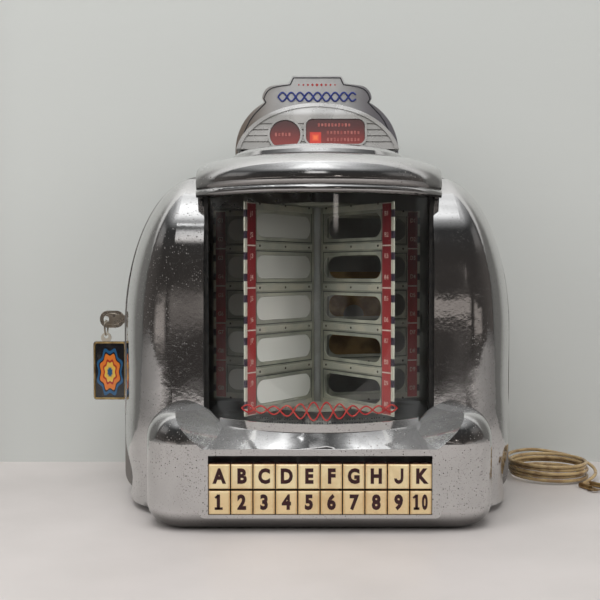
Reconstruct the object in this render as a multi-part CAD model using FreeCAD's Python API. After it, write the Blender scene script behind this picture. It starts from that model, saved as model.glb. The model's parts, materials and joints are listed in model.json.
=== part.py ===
"""Wall box selector of a coin-operated phonograph.

A deep cast cover carries a curved window, a turning book of title leaves, the
coin panel and the lock.  It pulls off forwards from a steel back plate, which
carries the key bank, the latches, the selector switch and the coin path.

Millimetres.  +X right, +Y back to the wall, +Z up.  The origin is on the base
plane, straight under the spindle of the title leaves.
"""
import FreeCAD, Part
import math
import os

V = FreeCAD.Vector
os.makedirs("parts", exist_ok=True)

# ---------------------------------------------------------------------- window
PANE_RADIUS = 97.0        # about the spindle
PANE_THICK = 2.5
WINDOW_HALF = 82.3        # half width between the inner flanks of the rolls
PANE_EDGE_Y = -math.sqrt(PANE_RADIUS ** 2 - WINDOW_HALF ** 2)
PANE_TOP = 233.0
LEAF_CLEAR = 6.0          # between the turning leaves and the pane
LEAF_RADIUS = PANE_RADIUS - PANE_THICK - LEAF_CLEAR
LEAF_BEHIND = 3.5         # between the turning leaves and the back plate
SEAL = 3.0
SILL_LAP = 4.5            # the sill reaches this far in under the pane
SILL_INNER = PANE_RADIUS - SILL_LAP
LIP_PROUD = 2.3
LIP_HIGH = 4.0
LIP_ANGLE = 45.0          # half the arc of the lip at the pane's foot

# ---------------------------------------------------------------- cover outline
HALF_WIDTH = 153.0        # widest half width, at the rear skirt
WAIST_Z = 130.0           # height where the shoulders start to turn in
SHOULDER_X = 92.0         # half width where the shoulders reach the top
SHOULDER_TOP = 251.0
FOOT_RADIUS = 17.0        # lower corners in the front view
RIM = 5.0                 # step from the rear skirt in to the front rolls
SKIRT_FRONT = 12.0        # where that step is
WALL = 3.0
PLATE = 4.0               # back plate
WALL_PLANE = LEAF_RADIUS + LEAF_BEHIND + PLATE    # face that lies on the wall
SEAM = 0.5                # gap between cover and back plate

CREST_X = 105.0           # crest of each front roll
CREST_PROUD = 10.66       # the crests stand this far in front of the pane's edges
CREST_Y = PANE_EDGE_Y - CREST_PROUD
CREST_FALL = 47.0         # how far the crest runs back towards the top
CREST_STRAIGHT = 150.0    # height up to which the crest is upright
ROLL_REACH = 1.5          # the roll's own side stands this far outside the rim
ROLL_SIDE_Y = 15.0
ROLL_LEAN = 25.0

# ------------------------------------------------------------- keyboard housing
BULGE_HALF = 121.0
BULGE_PROUD = 6.0         # the housing's front stands this far before the pane
BULGE_FRONT = -(PANE_RADIUS + BULGE_PROUD)
BULGE_BACK = 20.0
BULGE_TOP = 82.0
BULGE_CORNER = 30.0       # vertical corners
BULGE_ROLL = 22.0         # rolled top edge
BULGE_FOOT = 17.0         # rolled lower edge
FACET_LOW = 57.0          # sloped facet above the keys
FACET_TOP = 69.0
FACET_HALF = 83.0
WELL_HALF = 53.0          # half width of the cut above the facet, at the window
FLARE = 27.0              # height over which that cut flares out
FLARE_FRONT, FLARE_BACK = 114.0, 88.0       # its half widths at the top

# ------------------------------------------------------------------------ keys
COLUMNS = 10
KEY_PITCH = 15.0
KEY_WIDTH = 14.2
KEY_DEPTH = 10.0
KEY_PROUD = 2.4           # key faces before the housing's front
KEY_FACE = BULGE_FRONT - KEY_PROUD
KEY_EDGE = 0.7            # chamfer round each key's face
LETTER_LOW, LETTER_HIGH = 30.7, 47.1
NUMBER_LOW, NUMBER_HIGH = 13.5, 29.2
OPENING_GAP = 0.6         # at the ends of a row
OPENING_LOW, OPENING_HIGH = 12.9, 52.7
KEY_PLATE_HALF = 81.4
KEY_PLATE_LOW, KEY_PLATE_HIGH = 10.5, 57.0
KEY_PLATE_PROUD = 1.0
KEY_PLATE_CORNER = 4.0
BAR_THICK = 2.0
BAR_HIGH = 8.0
BAR_END = -20.0
BAR_CLEAR = 0.15          # in the guide slots
NOTCH_FRONT, NOTCH_BACK, NOTCH_DEEP = -52.0, -42.0, 2.5

# -------------------------------------------------------- visor, turret, wheel
VISOR_REACH = 9.0         # the visor overhangs the pane by this
VISOR_RADIUS = PANE_RADIUS + VISOR_REACH
VISOR_LOW = 229.0
VISOR_BAND = 5.0          # pale lower band
TURRET_TOP = 257.5
TURRET_HALF = 88.0
TURRET_ROUND = 22.0       # rounded ends of the turret in the front view
WHEEL_RADIUS = 67.0
WHEEL_LOW = 258.1
WHEEL_HIGH = 269.0

# ------------------------------------------------------------------- coin head
ARCH_HALF = 63.4
ARCH_BASE = 262.5         # height of the arch's centre
ARCH_RISE = 45.0
HEAD_LOW = 270.3
HEAD_FRONT = -10.0
HEAD_TILT = 12.0          # degrees that the coin panel leans back
PANEL_THICK = 2.5
PANEL_RIM = 3.0
PANEL_GAP = 0.3           # between the panel and the head
RIBS = 4
RIB_PITCH, RIB_GROOVE, RIB_DEPTH = 4.9, 1.3, 0.8
PANEL_SUNK = 0.9          # ribbed field below the rim
FRAME_PROUD = 0.4         # frame of the sign window over the rim
COIN_WINDOW = (-25.0, 281.5, 11.8)          # x, z, radius
SIGN_WINDOW = (-9.0, 36.4, 274.0, 294.3)    # x0, x1, z0, z1
SIGN_CORNER = 5.5
SIGN_FRAME = 1.5
LENS_THICK = 1.6
HEADER_Y = 20.0
HEADER_THICK = 1.5
HEADER_CROWN = (19.6, 331.9)                # corners of the header's outline: x, z
HEADER_STEP = (22.4, 326.2)
HEADER_LOBE = ((34.5, 324.6), (41.0, 321.2), (43.6, 314.0))
HEADER_NOTCH = (42.0, 311.0)
HEADER_SWEEP = ((59.2, 294.2), (65.0, 268.0))
HEADER_FOOT = 262.0
NECK = 4.3                # the head is this much smaller behind the header
RISER_FRONT = 70.5
RISER_HALF = 56.0

# -------------------------------------------------------------------- carousel
LEAVES = 5
LEAF_THICK = 1.2
LEAF_LOW, LEAF_HIGH = 74.0, 225.0
LEAF_HUB = 5.2
SLOTS = 5
SLOT_PITCH = 30.0
SLOT_HIGH = 17.5
SLOT_START = 9.5
SLOT_MARGIN = 2.0         # between the slots and the index strip
SLOT_CORNER = 7.6
BAR_WIDE, BAR_PROUD = 4.2, 0.8
INDEX_WIDE, INDEX_PROUD = 8.5, 0.6
INDEX_EDGE = 2.5          # bare rim outside the index strip
INDEX_START = LEAF_RADIUS - INDEX_EDGE - INDEX_WIDE
SLOT_LENGTH = INDEX_START - SLOT_MARGIN - SLOT_START
CARD_THICK = 0.5
CARD_LEAVES = (2, 3, 4)   # the leaves that hold title cards, counted from the front right
SPINDLE_RADIUS = 4.0
HUB_DISC = 34.0
HUB_DISC_THICK = 2.0
RUNNING = 0.06            # running fits, on the radius

# ------------------------------------------------------------------------ lock
LOCK_Y, LOCK_Z = 37.0, 137.0
BARREL_RADIUS = 9.5
PLUG_RADIUS = 5.5
BOW_LONG, BOW_HIGH, BOW_THICK = 20.0, 14.0, 2.0
BOW_GAP = 5.0             # cover side to the near end of the bow
BOW_HOLE = 2.6
RING_RADIUS, RING_WIRE = 6.0, 0.7
HANG_GAP = 0.7            # play of the ring in the bow's hole
FOB_EYE = 1.9
FOB_WIDE, FOB_HIGH, FOB_THICK = 27.0, 48.0, 2.2
FOB_CORNER = 2.5
BARREL_LONG = 18.0
BARREL_LIP = 2.2
KEY_BLADE = 3.2           # half height
CAM_HALF, CAM_REACH, CAM_THICK = 5.5, 22.0, 2.0

# --------------------------------------------------------------------- chassis
SHELF_Z, SHEET = 60.0, 1.5
SHELF_HALF = 112.0
SHELF_FRONT = -40.0
FLOOR_GAP = 9.0           # chassis legs above the base plane
POST_INSET = 15.0         # lamp posts in from the shelf's ends
POST_HIGH = 196.0
LAMP_INSET, LAMP_Y = 7.0, -14.0
LAMP_LEVELS = (110.0, 170.0)
CAP_RADIUS, CAP_HIGH = 5.0, 12.0            # lamp cap and bulb
BULB_NECK, BULB_RADIUS, BULB_RISE = 4.2, 6.5, 10.0
GUIDE_BEHIND = 17.0       # front comb behind the housing's front
GUIDE_FRONT, GUIDE_BACK, GUIDE_SHEET = BULGE_FRONT + GUIDE_BEHIND, -30.0, 2.0
GUIDE_HALF = 80.0
GUIDE_LOW, GUIDE_TOP_GAP = 8.0, 3.0         # the combs' feet, and their gap under the shelf
ARM_X, ARM_HALF, ARM_REACH = 60.0, 6.0, 30.0
FINGER_HALF, FINGER_THICK, FINGER_GAP = 2.0, 0.5, 0.3     # return springs behind the bars
COMB_HALF, COMB_LOW, COMB_HIGH, FINGER_RISE = 76.0, 9.0, 1.5, 3.0
LATCH_Y, LATCH_LIP_Y = -60.0, -46.0
LATCH_SHAFT = 2.0
LATCH_RISE = 5.0          # latch shaft over the key bars
BLADE_RISE = 3.2          # latch blade over the key bars
BLADE_THICK, BLADE_HALF = 1.2, 74.0
LIP_GAP, LIP_THICK = 0.4, 1.5
DISC_X, DISC_Y, DISC_RADIUS = 62.0, 44.0, 34.0
DISC_LOW, DISC_THICK = 22.0, 3.0
STUD_RINGS = ((5.0, 20), (13.0, 10))        # distance in from the rim, number of studs
STUD_RADIUS, STUD_PROUD = 1.3, 1.0
PILLAR_SPREAD, PILLAR_RADIUS, PAD_RADIUS = 24.0, 2.5, 4.5
GEAR_RISE, GEAR_THICK = 12.0, 3.0           # wheel over the disc's underside
AXLE_RADIUS, HUB_RADIUS = 3.0, 5.5
WIPER_HALF, WIPER_LOW, WIPER_HIGH = 3.0, 6.5, 8.0
SHOE_LONG, SHOE_HALF, SHOE_LOW = 4.0, 2.0, 4.3
MOTOR_RADIUS, MOTOR_SHAFT, MOTOR_RISE = 17.0, 2.0, 5.0
WHEEL_TEETH, PINION_TEETH, MODULE = 40, 10, 1.0
MESH_PLAY = 0.3
SOLENOID_X, SOLENOID_Z = -15.0, 44.0        # between two columns of key bars
SOLENOID_HALF, SOLENOID_HIGH, SOLENOID_FRONT, SOLENOID_BACK = 14.0, 13.0, -4.0, 26.0
YOKE, COIL_RADIUS = 3.0, 9.5
PLUNGER_RADIUS, PLUNGER_HEAD, HEAD_THICK, PLUNGER_OUT, PLUNGER_IN = 4.0, 5.2, 3.0, -10.0, 13.0
MOUNT_X, MOUNT_LOW, MOUNT_HIGH, MOUNT_RADIUS = 125.0, 50.0, 200.0, 3.0

CHUTE_SHEET = 1.2
CHUTE_RISE, CHUTE_HIGH = 5.0, 14.0          # mouth over the head's foot, and its height
CROSS_LOW, CROSS_HIGH = 230.0, 243.0        # run across, over the leaves
DROP_X = (-106.0, -92.0)                    # drop to the rejector
CHUTE_BACK = 89.0
REJECTOR_X = (-108.0, -92.5)
REJECTOR_HIGH = 194.0
MAGNET = (50.0, 150.0, 11.0)                # y, z, radius
CRADLE = (8.0, 60.0, 96.0, 176.0)           # brass plate: x0, x1, z0, z1
CRADLE_HOLE = (34.0, 138.0, 9.0)            # x, z, radius
TIN = (-110.0, -42.0, 30.0, 5.0, 56.0)      # cash box: x0, x1, y0, z0, z1
TIN_GAP = 6.0             # between the cash box and the back plate
SCREW_RADIUS = 3.5

# ------------------------------------------------------------------------ lead
LEAD = 2.8
GROMMET_GAP = 10.0        # grommet's centre outside the shelf's leg
GROMMET_X, GROMMET_Z = SHELF_HALF + GROMMET_GAP, 30.0
GROMMET_NECK, GROMMET_FLANGE = 6.0, 8.0     # radii
FLANGE_THICK = 2.0
FIT_GAP = 0.1


# =============================================================== shape helpers
def box(x0, x1, y0, y1, z0, z1):
    return Part.makeBox(x1 - x0, y1 - y0, z1 - z0, V(x0, y0, z0))


def rod(radius, start, end):
    """Cylinder between two points."""
    first, last = V(*start), V(*end)
    along = last - first
    return Part.makeCylinder(radius, along.Length, first, along)


def polygon(points):
    """Closed wire through 3-D points."""
    corners = [V(*point) for point in points]
    return Part.makePolygon(corners + corners[:1])


def turned(profile, x=0.0, y=0.0):
    """Revolve a closed (radius, z) outline about the upright axis at x, y."""
    face = Part.Face(polygon([(x + r, y, z) for r, z in profile]))
    return face.revolve(V(x, y, 0), V(0, 0, 1), 360)


def ring(outer, inner, low, high, x=0.0, y=0.0):
    return turned([(inner, low), (outer, low), (outer, high), (inner, high)], x, y)


def front_plate(wire, y0, y1):
    """Extrude a wire of the X-Z plane at depth y0 back to y1."""
    return Part.Face(wire).extrude(V(0, y1 - y0, 0))


def rounded(x0, x1, z0, z1, radius, y0, y1):
    """Plate in the X-Z plane with rounded corners."""
    body = box(x0, x1, y0, y1, z0, z1)
    upright = [e for e in body.Edges if abs(e.Vertexes[0].Y - e.Vertexes[1].Y) > abs(y1 - y0) / 2]
    return body.makeFillet(radius, upright)


def edges_where(shape, test):
    """Edges whose ends and middle all pass a test on the point."""
    chosen = []
    for edge in shape.Edges:
        middle = edge.valueAt((edge.FirstParameter + edge.LastParameter) / 2)
        points = [vertex.Point for vertex in edge.Vertexes] + [middle]
        if all(test(point) for point in points):
            chosen.append(edge)
    return chosen


def fuse(*solids):
    whole = solids[0].multiFuse(list(solids[1:])) if len(solids) > 1 else solids[0]
    return whole.removeSplitter()


def save(node, *solids):
    """Write one node, as one solid or as a group of separate solids."""
    shape = solids[0] if len(solids) == 1 else Part.makeCompound(list(solids))
    shape.exportStep("parts/" + node + ".step")
    print(f"{node:18} {len(shape.Solids):3} solids  {shape.Volume / 1000:9.2f} cm3")


# ====================================================================== cover
COVER_BACK = WALL_PLANE - PLATE - SEAM


def elevation(inset, y):
    """Front view of the cover's skirt: a closed wire at depth y."""
    half, top = HALF_WIDTH - inset, SHOULDER_TOP - inset
    corner = FOOT_RADIUS - inset
    edges = []
    for side in (1, -1):
        foot = V(side * (half - corner), y, inset)
        turn = V(side * (half - corner * (1 - math.sqrt(0.5))), y, inset + corner * (1 - math.sqrt(0.5)))
        knee = V(side * half, y, inset + corner)
        waist = V(side * half, y, WAIST_Z)
        centre = V(side * SHOULDER_X, y, WAIST_Z)
        crown = V(side * SHOULDER_X, y, top)
        shoulder = Part.Ellipse(crown, waist, centre)
        edges += [
            Part.Arc(foot, turn, knee).toShape(),
            Part.makeLine(knee, waist),
            Part.ArcOfEllipse(shoulder, 0, math.pi / 2).toShape(),
        ]
    edges.append(Part.makeLine(V(-SHOULDER_X, y, top), V(SHOULDER_X, y, top)))
    edges.append(Part.makeLine(V(-(half - corner), y, inset), V(half - corner, y, inset)))
    return Part.Wire(Part.__sortEdges__(edges))


def roll_section(z, inset):
    """Plan of the two front rolls at height z, inset by a wall."""
    rise = max(0.0, (z - WAIST_Z) / (SHOULDER_TOP + ROLL_REACH - inset - WAIST_Z))
    shrink = math.sqrt(max(0.0, 1.0 - rise * rise))
    half = SHOULDER_X + (HALF_WIDTH - RIM + ROLL_REACH - inset - SHOULDER_X) * shrink
    crest_x = SHOULDER_X + (CREST_X - SHOULDER_X) * shrink
    climb = max(0.0, (z - CREST_STRAIGHT) / (SHOULDER_TOP - CREST_STRAIGHT))
    crest_y = CREST_Y + inset + CREST_FALL * climb ** 4
    side_y = ROLL_SIDE_Y + ROLL_LEAN * climb ** 2
    back = COVER_BACK - 30.0 + inset
    bow = 0.58            # fullness of the roll: 0.552 is a plain ellipse
    edges = [Part.makeLine(V(-half, back, z), V(half, back, z)),
             Part.makeLine(V(half, back, z), V(half, side_y, z))]
    for side in (1, -1):
        curve = Part.BezierCurve()
        poles = [V(side * half, side_y, z),
                 V(side * half, side_y - bow * (side_y - crest_y), z),
                 V(side * (crest_x + bow * (half - crest_x)), crest_y, z),
                 V(side * crest_x, crest_y, z)]
        curve.setPoles(poles if side == 1 else poles[::-1])
        edges.append(curve.toShape())
        if side == 1:
            edges.append(Part.makeLine(V(crest_x, crest_y, z), V(-crest_x, crest_y, z)))
    edges.append(Part.makeLine(V(-half, side_y, z), V(-half, back, z)))
    return Part.Wire(edges)


ROLL_LEVELS = (0.0, 40.0, 80.0, 115.0, 145.0, 175.0, 200.0, 220.0, 234.0, 243.0, 247.6)


def rolls(inset):
    """The two front rolls with their shoulders, as one block."""
    low = inset
    levels = [low + (z / ROLL_LEVELS[-1]) * (ROLL_LEVELS[-1] - 1.2 * inset - low) for z in ROLL_LEVELS]
    block = Part.makeLoft([roll_section(z, inset) for z in levels], True, False)
    frame = front_plate(elevation(RIM + inset, CREST_Y - 40.0), CREST_Y - 40.0, COVER_BACK - 35.0 + inset)
    return block.common(frame)


def skirt(inset):
    back = COVER_BACK + (5.0 if inset else 0.0)
    return front_plate(elevation(inset, SKIRT_FRONT + inset), SKIRT_FRONT + inset, back)


def bulge_block(inset):
    """Keyboard housing with rolled edges, before the cut above the facet."""
    half, front = BULGE_HALF - inset, BULGE_FRONT + inset
    low, high = inset, BULGE_TOP - inset
    block = box(-half, half, front, BULGE_BACK, low, high)
    corners = edges_where(block, lambda p: abs(p.y - front) < 0.01 and abs(abs(p.x) - half) < 0.01)
    block = block.makeFillet(BULGE_CORNER - inset, corners)
    top = edges_where(block, lambda p: abs(p.z - high) < 0.01 and p.y < BULGE_BACK - 0.01 or
                      abs(p.z - high) < 0.01 and abs(abs(p.x) - half) < 0.01)
    block = block.makeFillet(BULGE_ROLL - inset, top)
    foot = edges_where(block, lambda p: abs(p.z - low) < 0.01 and p.y < BULGE_BACK - 0.01 or
                       abs(p.z - low) < 0.01 and abs(abs(p.x) - half) < 0.01)
    return block.makeFillet(BULGE_FOOT - inset, foot)


def facet_cut(grow):
    """Space above the facet; its sides flare outwards to the window's corners."""
    low, high = FACET_LOW - grow, FACET_LOW + FLARE
    front, inner_y = BULGE_FRONT - 3.0, -(PANE_RADIUS - 15.0)
    corner_y, back = PANE_EDGE_Y - 6.7, PANE_EDGE_Y + 11.3
    lower = [(FACET_HALF + grow, front), (WELL_HALF + grow, inner_y), (WELL_HALF + grow, back)]
    upper = [(FLARE_FRONT + grow, front), (FLARE_BACK + grow, corner_y), (FLARE_BACK + grow, back)]
    wires = []
    for outline, z in ((lower, low), (upper, high)):
        right = [(x, y, z) for x, y in outline]
        left = [(-x, y, z) for x, y in reversed(outline)]
        wires.append(polygon(right + left))
    return Part.makeLoft(wires, True, True)


def facet_block(inset):
    """Ruled block from the straight edge over the keys to the window's arc."""
    low = FACET_LOW - 3.0 - inset
    edge_z, top = FACET_LOW - inset, FACET_TOP - inset
    front, radius = BULGE_FRONT + inset, PANE_RADIUS + 0.5 - inset
    half, back = FACET_HALF + 7.0, PANE_EDGE_Y + 6.3
    angle = math.asin((WINDOW_HALF - 0.5) / (PANE_RADIUS + 0.5))
    corners = [(-half, front), (half, front), (half, back), (-half, back)]
    foot = polygon([(x, y, low) for x, y in corners])
    sill = polygon([(x, y, edge_z) for x, y in corners])
    end_x, end_y = radius * math.sin(angle), -radius * math.cos(angle)
    arc = Part.Arc(V(-end_x, end_y, top), V(0, -radius, top), V(end_x, end_y, top)).toShape()
    crown = Part.Wire([arc,
                       Part.makeLine(V(end_x, end_y, top), V(end_x, back, top)),
                       Part.makeLine(V(end_x, back, top), V(-end_x, back, top)),
                       Part.makeLine(V(-end_x, back, top), V(-end_x, end_y, top))])
    return fuse(Part.makeLoft([foot, sill], True, True), Part.makeLoft([sill, crown], True, True))


def bulge(inset):
    cut = bulge_block(inset).cut(facet_cut(inset))
    shaped = cut.fuse(facet_block(inset))
    if inset:
        return shaped
    well = rod(PANE_RADIUS + 0.5, (0, 0, FACET_TOP), (0, 0, BULGE_TOP + 1))
    return shaped.cut(well)


def turret_outline(inset, y):
    """Front view of the visor and the deck above the window."""
    half, top = TURRET_HALF - inset, TURRET_TOP - inset
    low = VISOR_LOW - (1.0 if inset else 0.0)     # the hollow is open below
    rounding, drop = TURRET_ROUND, 10.0
    edges = [Part.makeLine(V(-half, y, low), V(half, y, low)),
             Part.makeLine(V(half, y, low), V(half, y, top - drop))]
    for side in (1, -1):
        curve = Part.BezierCurve()
        poles = [V(side * half, y, top - drop), V(side * half, y, top - 0.4 * drop),
                 V(side * (half - 0.45 * rounding), y, top), V(side * (half - rounding), y, top)]
        curve.setPoles(poles if side == 1 else poles[::-1])
        edges.append(curve.toShape())
        if side == 1:
            edges.append(Part.makeLine(V(half - rounding, y, top), V(rounding - half, y, top)))
    edges.append(Part.makeLine(V(-half, y, top - drop), V(-half, y, low)))
    return Part.Wire(edges)


def visor_profile():
    """Section of the rolled visor from its lower band to the deck."""
    band = VISOR_LOW + VISOR_BAND
    edges = [Part.makeLine(V(0, 0, VISOR_LOW), V(VISOR_RADIUS - 2.5, 0, VISOR_LOW)),
             Part.Arc(V(VISOR_RADIUS - 2.5, 0, VISOR_LOW), V(VISOR_RADIUS - 1.0, 0, VISOR_LOW + 2.2),
                      V(VISOR_RADIUS - 2.0, 0, band)).toShape(),
             Part.makeLine(V(VISOR_RADIUS - 2.0, 0, band), V(VISOR_RADIUS - 2.6, 0, band + 0.8))]
    curve = Part.BezierCurve()
    curve.setPoles([V(VISOR_RADIUS - 2.6, 0, band + 0.8), V(VISOR_RADIUS + 2.6, 0, band + 7.0),
                    V(VISOR_RADIUS - 4.0, 0, TURRET_TOP - 0.4), V(VISOR_RADIUS - 30.0, 0, TURRET_TOP + 1.0)])
    edges.append(curve.toShape())
    edges += [Part.makeLine(V(VISOR_RADIUS - 30.0, 0, TURRET_TOP + 1.0), V(0, 0, TURRET_TOP + 1.0)),
              Part.makeLine(V(0, 0, TURRET_TOP + 1.0), V(0, 0, VISOR_LOW))]
    return Part.Face(Part.Wire(edges)).revolve(V(0, 0, 0), V(0, 0, 1), 360)


def turret(inset):
    front = -VISOR_RADIUS - 5.0
    back = COVER_BACK + (5.0 if inset else 0.0)
    block = front_plate(turret_outline(inset, front), front, back)
    if not inset:
        return block.common(visor_profile())
    reach = PANE_RADIUS + 1.2
    hollow = turned([(0, VISOR_LOW - 1), (reach, VISOR_LOW - 1), (reach, TURRET_TOP - 15),
                     (PANE_RADIUS - 12, TURRET_TOP - inset), (0, TURRET_TOP - inset)])
    return block.common(hollow)


def arch(inset, y0, y1, low=HEAD_LOW):
    """Half-oval block of the coin head between two depths."""
    half, rise = ARCH_HALF - inset, ARCH_RISE - inset
    centre = V(0, y0, ARCH_BASE)
    oval = Part.Ellipse(V(half, y0, ARCH_BASE), V(0, y0, ARCH_BASE + rise), centre)
    block = front_plate(Part.Wire([oval.toShape()]), y0, y1)
    return block.common(box(-half - 1, half + 1, y0 - 1, y1 + 1, low, ARCH_BASE + rise + 1))


def leaned(shape):
    """Tip a piece of the coin panel back about the head's lower front edge."""
    tipped = shape.copy()
    tipped.rotate(V(0, HEAD_FRONT, HEAD_LOW), V(1, 0, 0), -HEAD_TILT)
    return tipped


def head(inset):
    """Coin head: full outline up to the header plate, a smaller one behind it."""
    if inset:
        front = arch(inset, HEAD_FRONT - 20.0, HEADER_Y - inset, HEAD_LOW - 1)
        neck = arch(NECK + inset, HEADER_Y - inset - 1.0, COVER_BACK + 5.0, HEAD_LOW - 1)
        return front.fuse(neck)
    front = arch(0.0, HEAD_FRONT - 20.0, HEADER_Y)
    panel_back = HEAD_FRONT + PANEL_THICK + PANEL_GAP
    slope = leaned(box(-90, 90, HEAD_FRONT - 60.0, panel_back, HEAD_LOW - 40, HEAD_LOW + 80))
    neck = arch(NECK, HEADER_Y - 1.0, COVER_BACK)
    return front.cut(slope).fuse(neck)


def riser(inset):
    """Hollow rear post that carries the coin head over the wheel."""
    back = COVER_BACK + (5.0 if inset else 0.0)
    low = TURRET_TOP - (12.0 if inset else 2.0)
    return box(-RISER_HALF + inset, RISER_HALF - inset, RISER_FRONT + inset, back, low, HEAD_LOW + 4.0)


def build_cover():
    shell = rolls(0.0).cut(box(-WINDOW_HALF, WINDOW_HALF, CREST_Y - 5, CREST_Y + 35, 60.0, VISOR_LOW + 2))
    outer = fuse(shell, skirt(0.0), bulge(0.0), turret(0.0), head(0.0), riser(0.0))
    for hollow in (rolls(WALL), skirt(WALL), bulge(WALL), turret(WALL), head(WALL), riser(WALL)):
        outer = outer.cut(hollow)
    flanks = box(WINDOW_HALF, WINDOW_HALF + WALL, CREST_Y - 5, CREST_Y + 18, FACET_TOP, VISOR_LOW + 3)
    flanks = flanks.fuse(flanks.mirror(V(0, 0, 0), V(1, 0, 0))).common(rolls(0.0))
    lip = ring(PANE_RADIUS + LIP_PROUD, PANE_RADIUS + 0.3, FACET_TOP - 1.5, FACET_TOP + LIP_HIGH)
    lip = lip.common(sector(LIP_ANGLE, PANE_RADIUS + 10, FACET_TOP - 5, FACET_TOP + 10))
    plate = rounded(-KEY_PLATE_HALF, KEY_PLATE_HALF, KEY_PLATE_LOW, KEY_PLATE_HIGH, KEY_PLATE_CORNER,
                    BULGE_FRONT - KEY_PLATE_PROUD, BULGE_FRONT + WALL)
    boss = rod(12.0, (0, 0, TURRET_TOP - 9.0), (0, 0, TURRET_TOP - 1.0))
    outer = fuse(outer, flanks, lip, plate, boss)
    half = (COLUMNS - 1) / 2 * KEY_PITCH + KEY_WIDTH / 2 + OPENING_GAP
    cuts = [box(-half, half, BULGE_FRONT - 5, BULGE_FRONT + 8, OPENING_LOW, OPENING_HIGH),
            rod(SPINDLE_RADIUS + RUNNING, (0, 0, TURRET_TOP - 12), (0, 0, TURRET_TOP + 2)),
            rod(SILL_INNER, (0, 0, FACET_TOP - 12), (0, 0, FACET_TOP + 1)),
            rod(BARREL_RADIUS - 1.0, (-HALF_WIDTH - 2, LOCK_Y, LOCK_Z), (-HALF_WIDTH + 8, LOCK_Y, LOCK_Z)),
            box(-22, 22, RISER_FRONT + WALL, COVER_BACK + 1, TURRET_TOP - 5, TURRET_TOP + 1)]
    for cut in cuts:
        outer = outer.cut(cut)
    save("front_cover", outer)


def sector(angle, radius, low, high):
    """Wedge about the spindle, open towards the front, for cutting arcs to length."""
    a = math.radians(angle)
    reach = radius / math.cos(a) if angle < 80 else radius * 6
    x, y = reach * math.sin(a), -reach * math.cos(a)
    return Part.Face(polygon([(0, 0, low), (x, y, low), (-x, y, low)])).extrude(V(0, 0, high - low))


def build_window():
    angle = math.degrees(math.asin((WINDOW_HALF - SEAL / 2) / PANE_RADIUS))
    low = FACET_TOP + 0.3
    pane = ring(PANE_RADIUS, PANE_RADIUS - PANE_THICK, low, PANE_TOP)
    save("window_pane", pane.common(sector(angle, 200.0, low - 1, PANE_TOP + 1)))
    strips = []
    for side in (1, -1):
        x0, x1 = sorted((side * (WINDOW_HALF - SEAL), side * (WINDOW_HALF - 0.05)))
        strip = box(x0, x1, PANE_EDGE_Y - 5.0, PANE_EDGE_Y + 9.0, low, VISOR_LOW - 0.3)
        groove = ring(PANE_RADIUS + 0.02, PANE_RADIUS - PANE_THICK - 0.02, low - 1, PANE_TOP)
        reach = WINDOW_HALF - SEAL / 2 + 0.02
        strips.append(strip.cut(groove.common(box(-reach, reach, -200.0, 0.0, low - 1, PANE_TOP))))
    save("window_seals", *strips)


def build_coin_panel():
    panel = arch(0.0, HEAD_FRONT, HEAD_FRONT + PANEL_THICK)
    floor = HEAD_FRONT + PANEL_SUNK
    panel = panel.cut(arch(PANEL_RIM, HEAD_FRONT - 1, floor))
    for row in range(1, RIBS + 1):
        z = HEAD_LOW + row * RIB_PITCH
        groove = arch(PANEL_RIM + 0.4, floor - 1, floor + RIB_DEPTH)
        panel = panel.cut(groove.common(box(-80, 80, -60, 60, z, z + RIB_GROOVE)))
    x, z, radius = COIN_WINDOW
    collar = rod(radius + 1.6, (x, HEAD_FRONT - 0.6, z), (x, HEAD_FRONT + PANEL_THICK, z))
    x0, x1, z0, z1 = SIGN_WINDOW
    edge = SIGN_FRAME
    frame = rounded(x0 - edge, x1 + edge, z0 - edge, z1 + edge, SIGN_CORNER + edge,
                    HEAD_FRONT - FRAME_PROUD, HEAD_FRONT + PANEL_THICK)
    keep = arch(0.5, HEAD_FRONT - 5, HEAD_FRONT + PANEL_THICK)
    panel = fuse(panel, collar.common(keep), frame.common(keep))
    hole = rod(radius, (x, HEAD_FRONT - 5, z), (x, HEAD_FRONT + 5, z))
    sign = rounded(x0, x1, z0, z1, SIGN_CORNER, HEAD_FRONT - 5, HEAD_FRONT + 5)
    panel = panel.cut(hole).cut(sign)
    save("coin_panel", leaned(panel))
    gap, lens_y = 0.15, HEAD_FRONT + 0.4
    lens_back = lens_y + LENS_THICK
    clip = arch(WALL + 0.5, HEAD_FRONT - 5, HEAD_FRONT + 5)
    round_lens = rod(radius - gap, (x, lens_y, z), (x, lens_back, z)).common(clip)
    save("coin_lens", leaned(round_lens))
    sign_lens = rounded(x0 + gap, x1 - gap, z0 + gap, z1 - gap, SIGN_CORNER - gap, lens_y, lens_back)
    save("instruction_lens", leaned(sign_lens.common(clip)))


def header_outline():
    """Lobed top of the header plate, right half from the middle outwards."""
    y = HEADER_Y + 0.2
    foot = (HEADER_SWEEP[1][0], HEADER_FOOT)
    stretches = [((0.0, HEADER_CROWN[1]), HEADER_CROWN), (HEADER_CROWN, HEADER_STEP),
                 (HEADER_STEP, HEADER_LOBE[0]), HEADER_LOBE, (HEADER_LOBE[2], HEADER_NOTCH),
                 (HEADER_NOTCH, *HEADER_SWEEP), (HEADER_SWEEP[1], foot)]
    edges = []
    for stretch in stretches:
        for side in (1, -1):
            points = [V(side * x, y, z) for x, z in stretch]
            edges.append(Part.Arc(*points).toShape() if len(points) == 3 else Part.makeLine(*points))
    edges.append(Part.makeLine(V(-foot[0], y, HEADER_FOOT), V(foot[0], y, HEADER_FOOT)))
    return Part.Wire(Part.__sortEdges__(edges))


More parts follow.
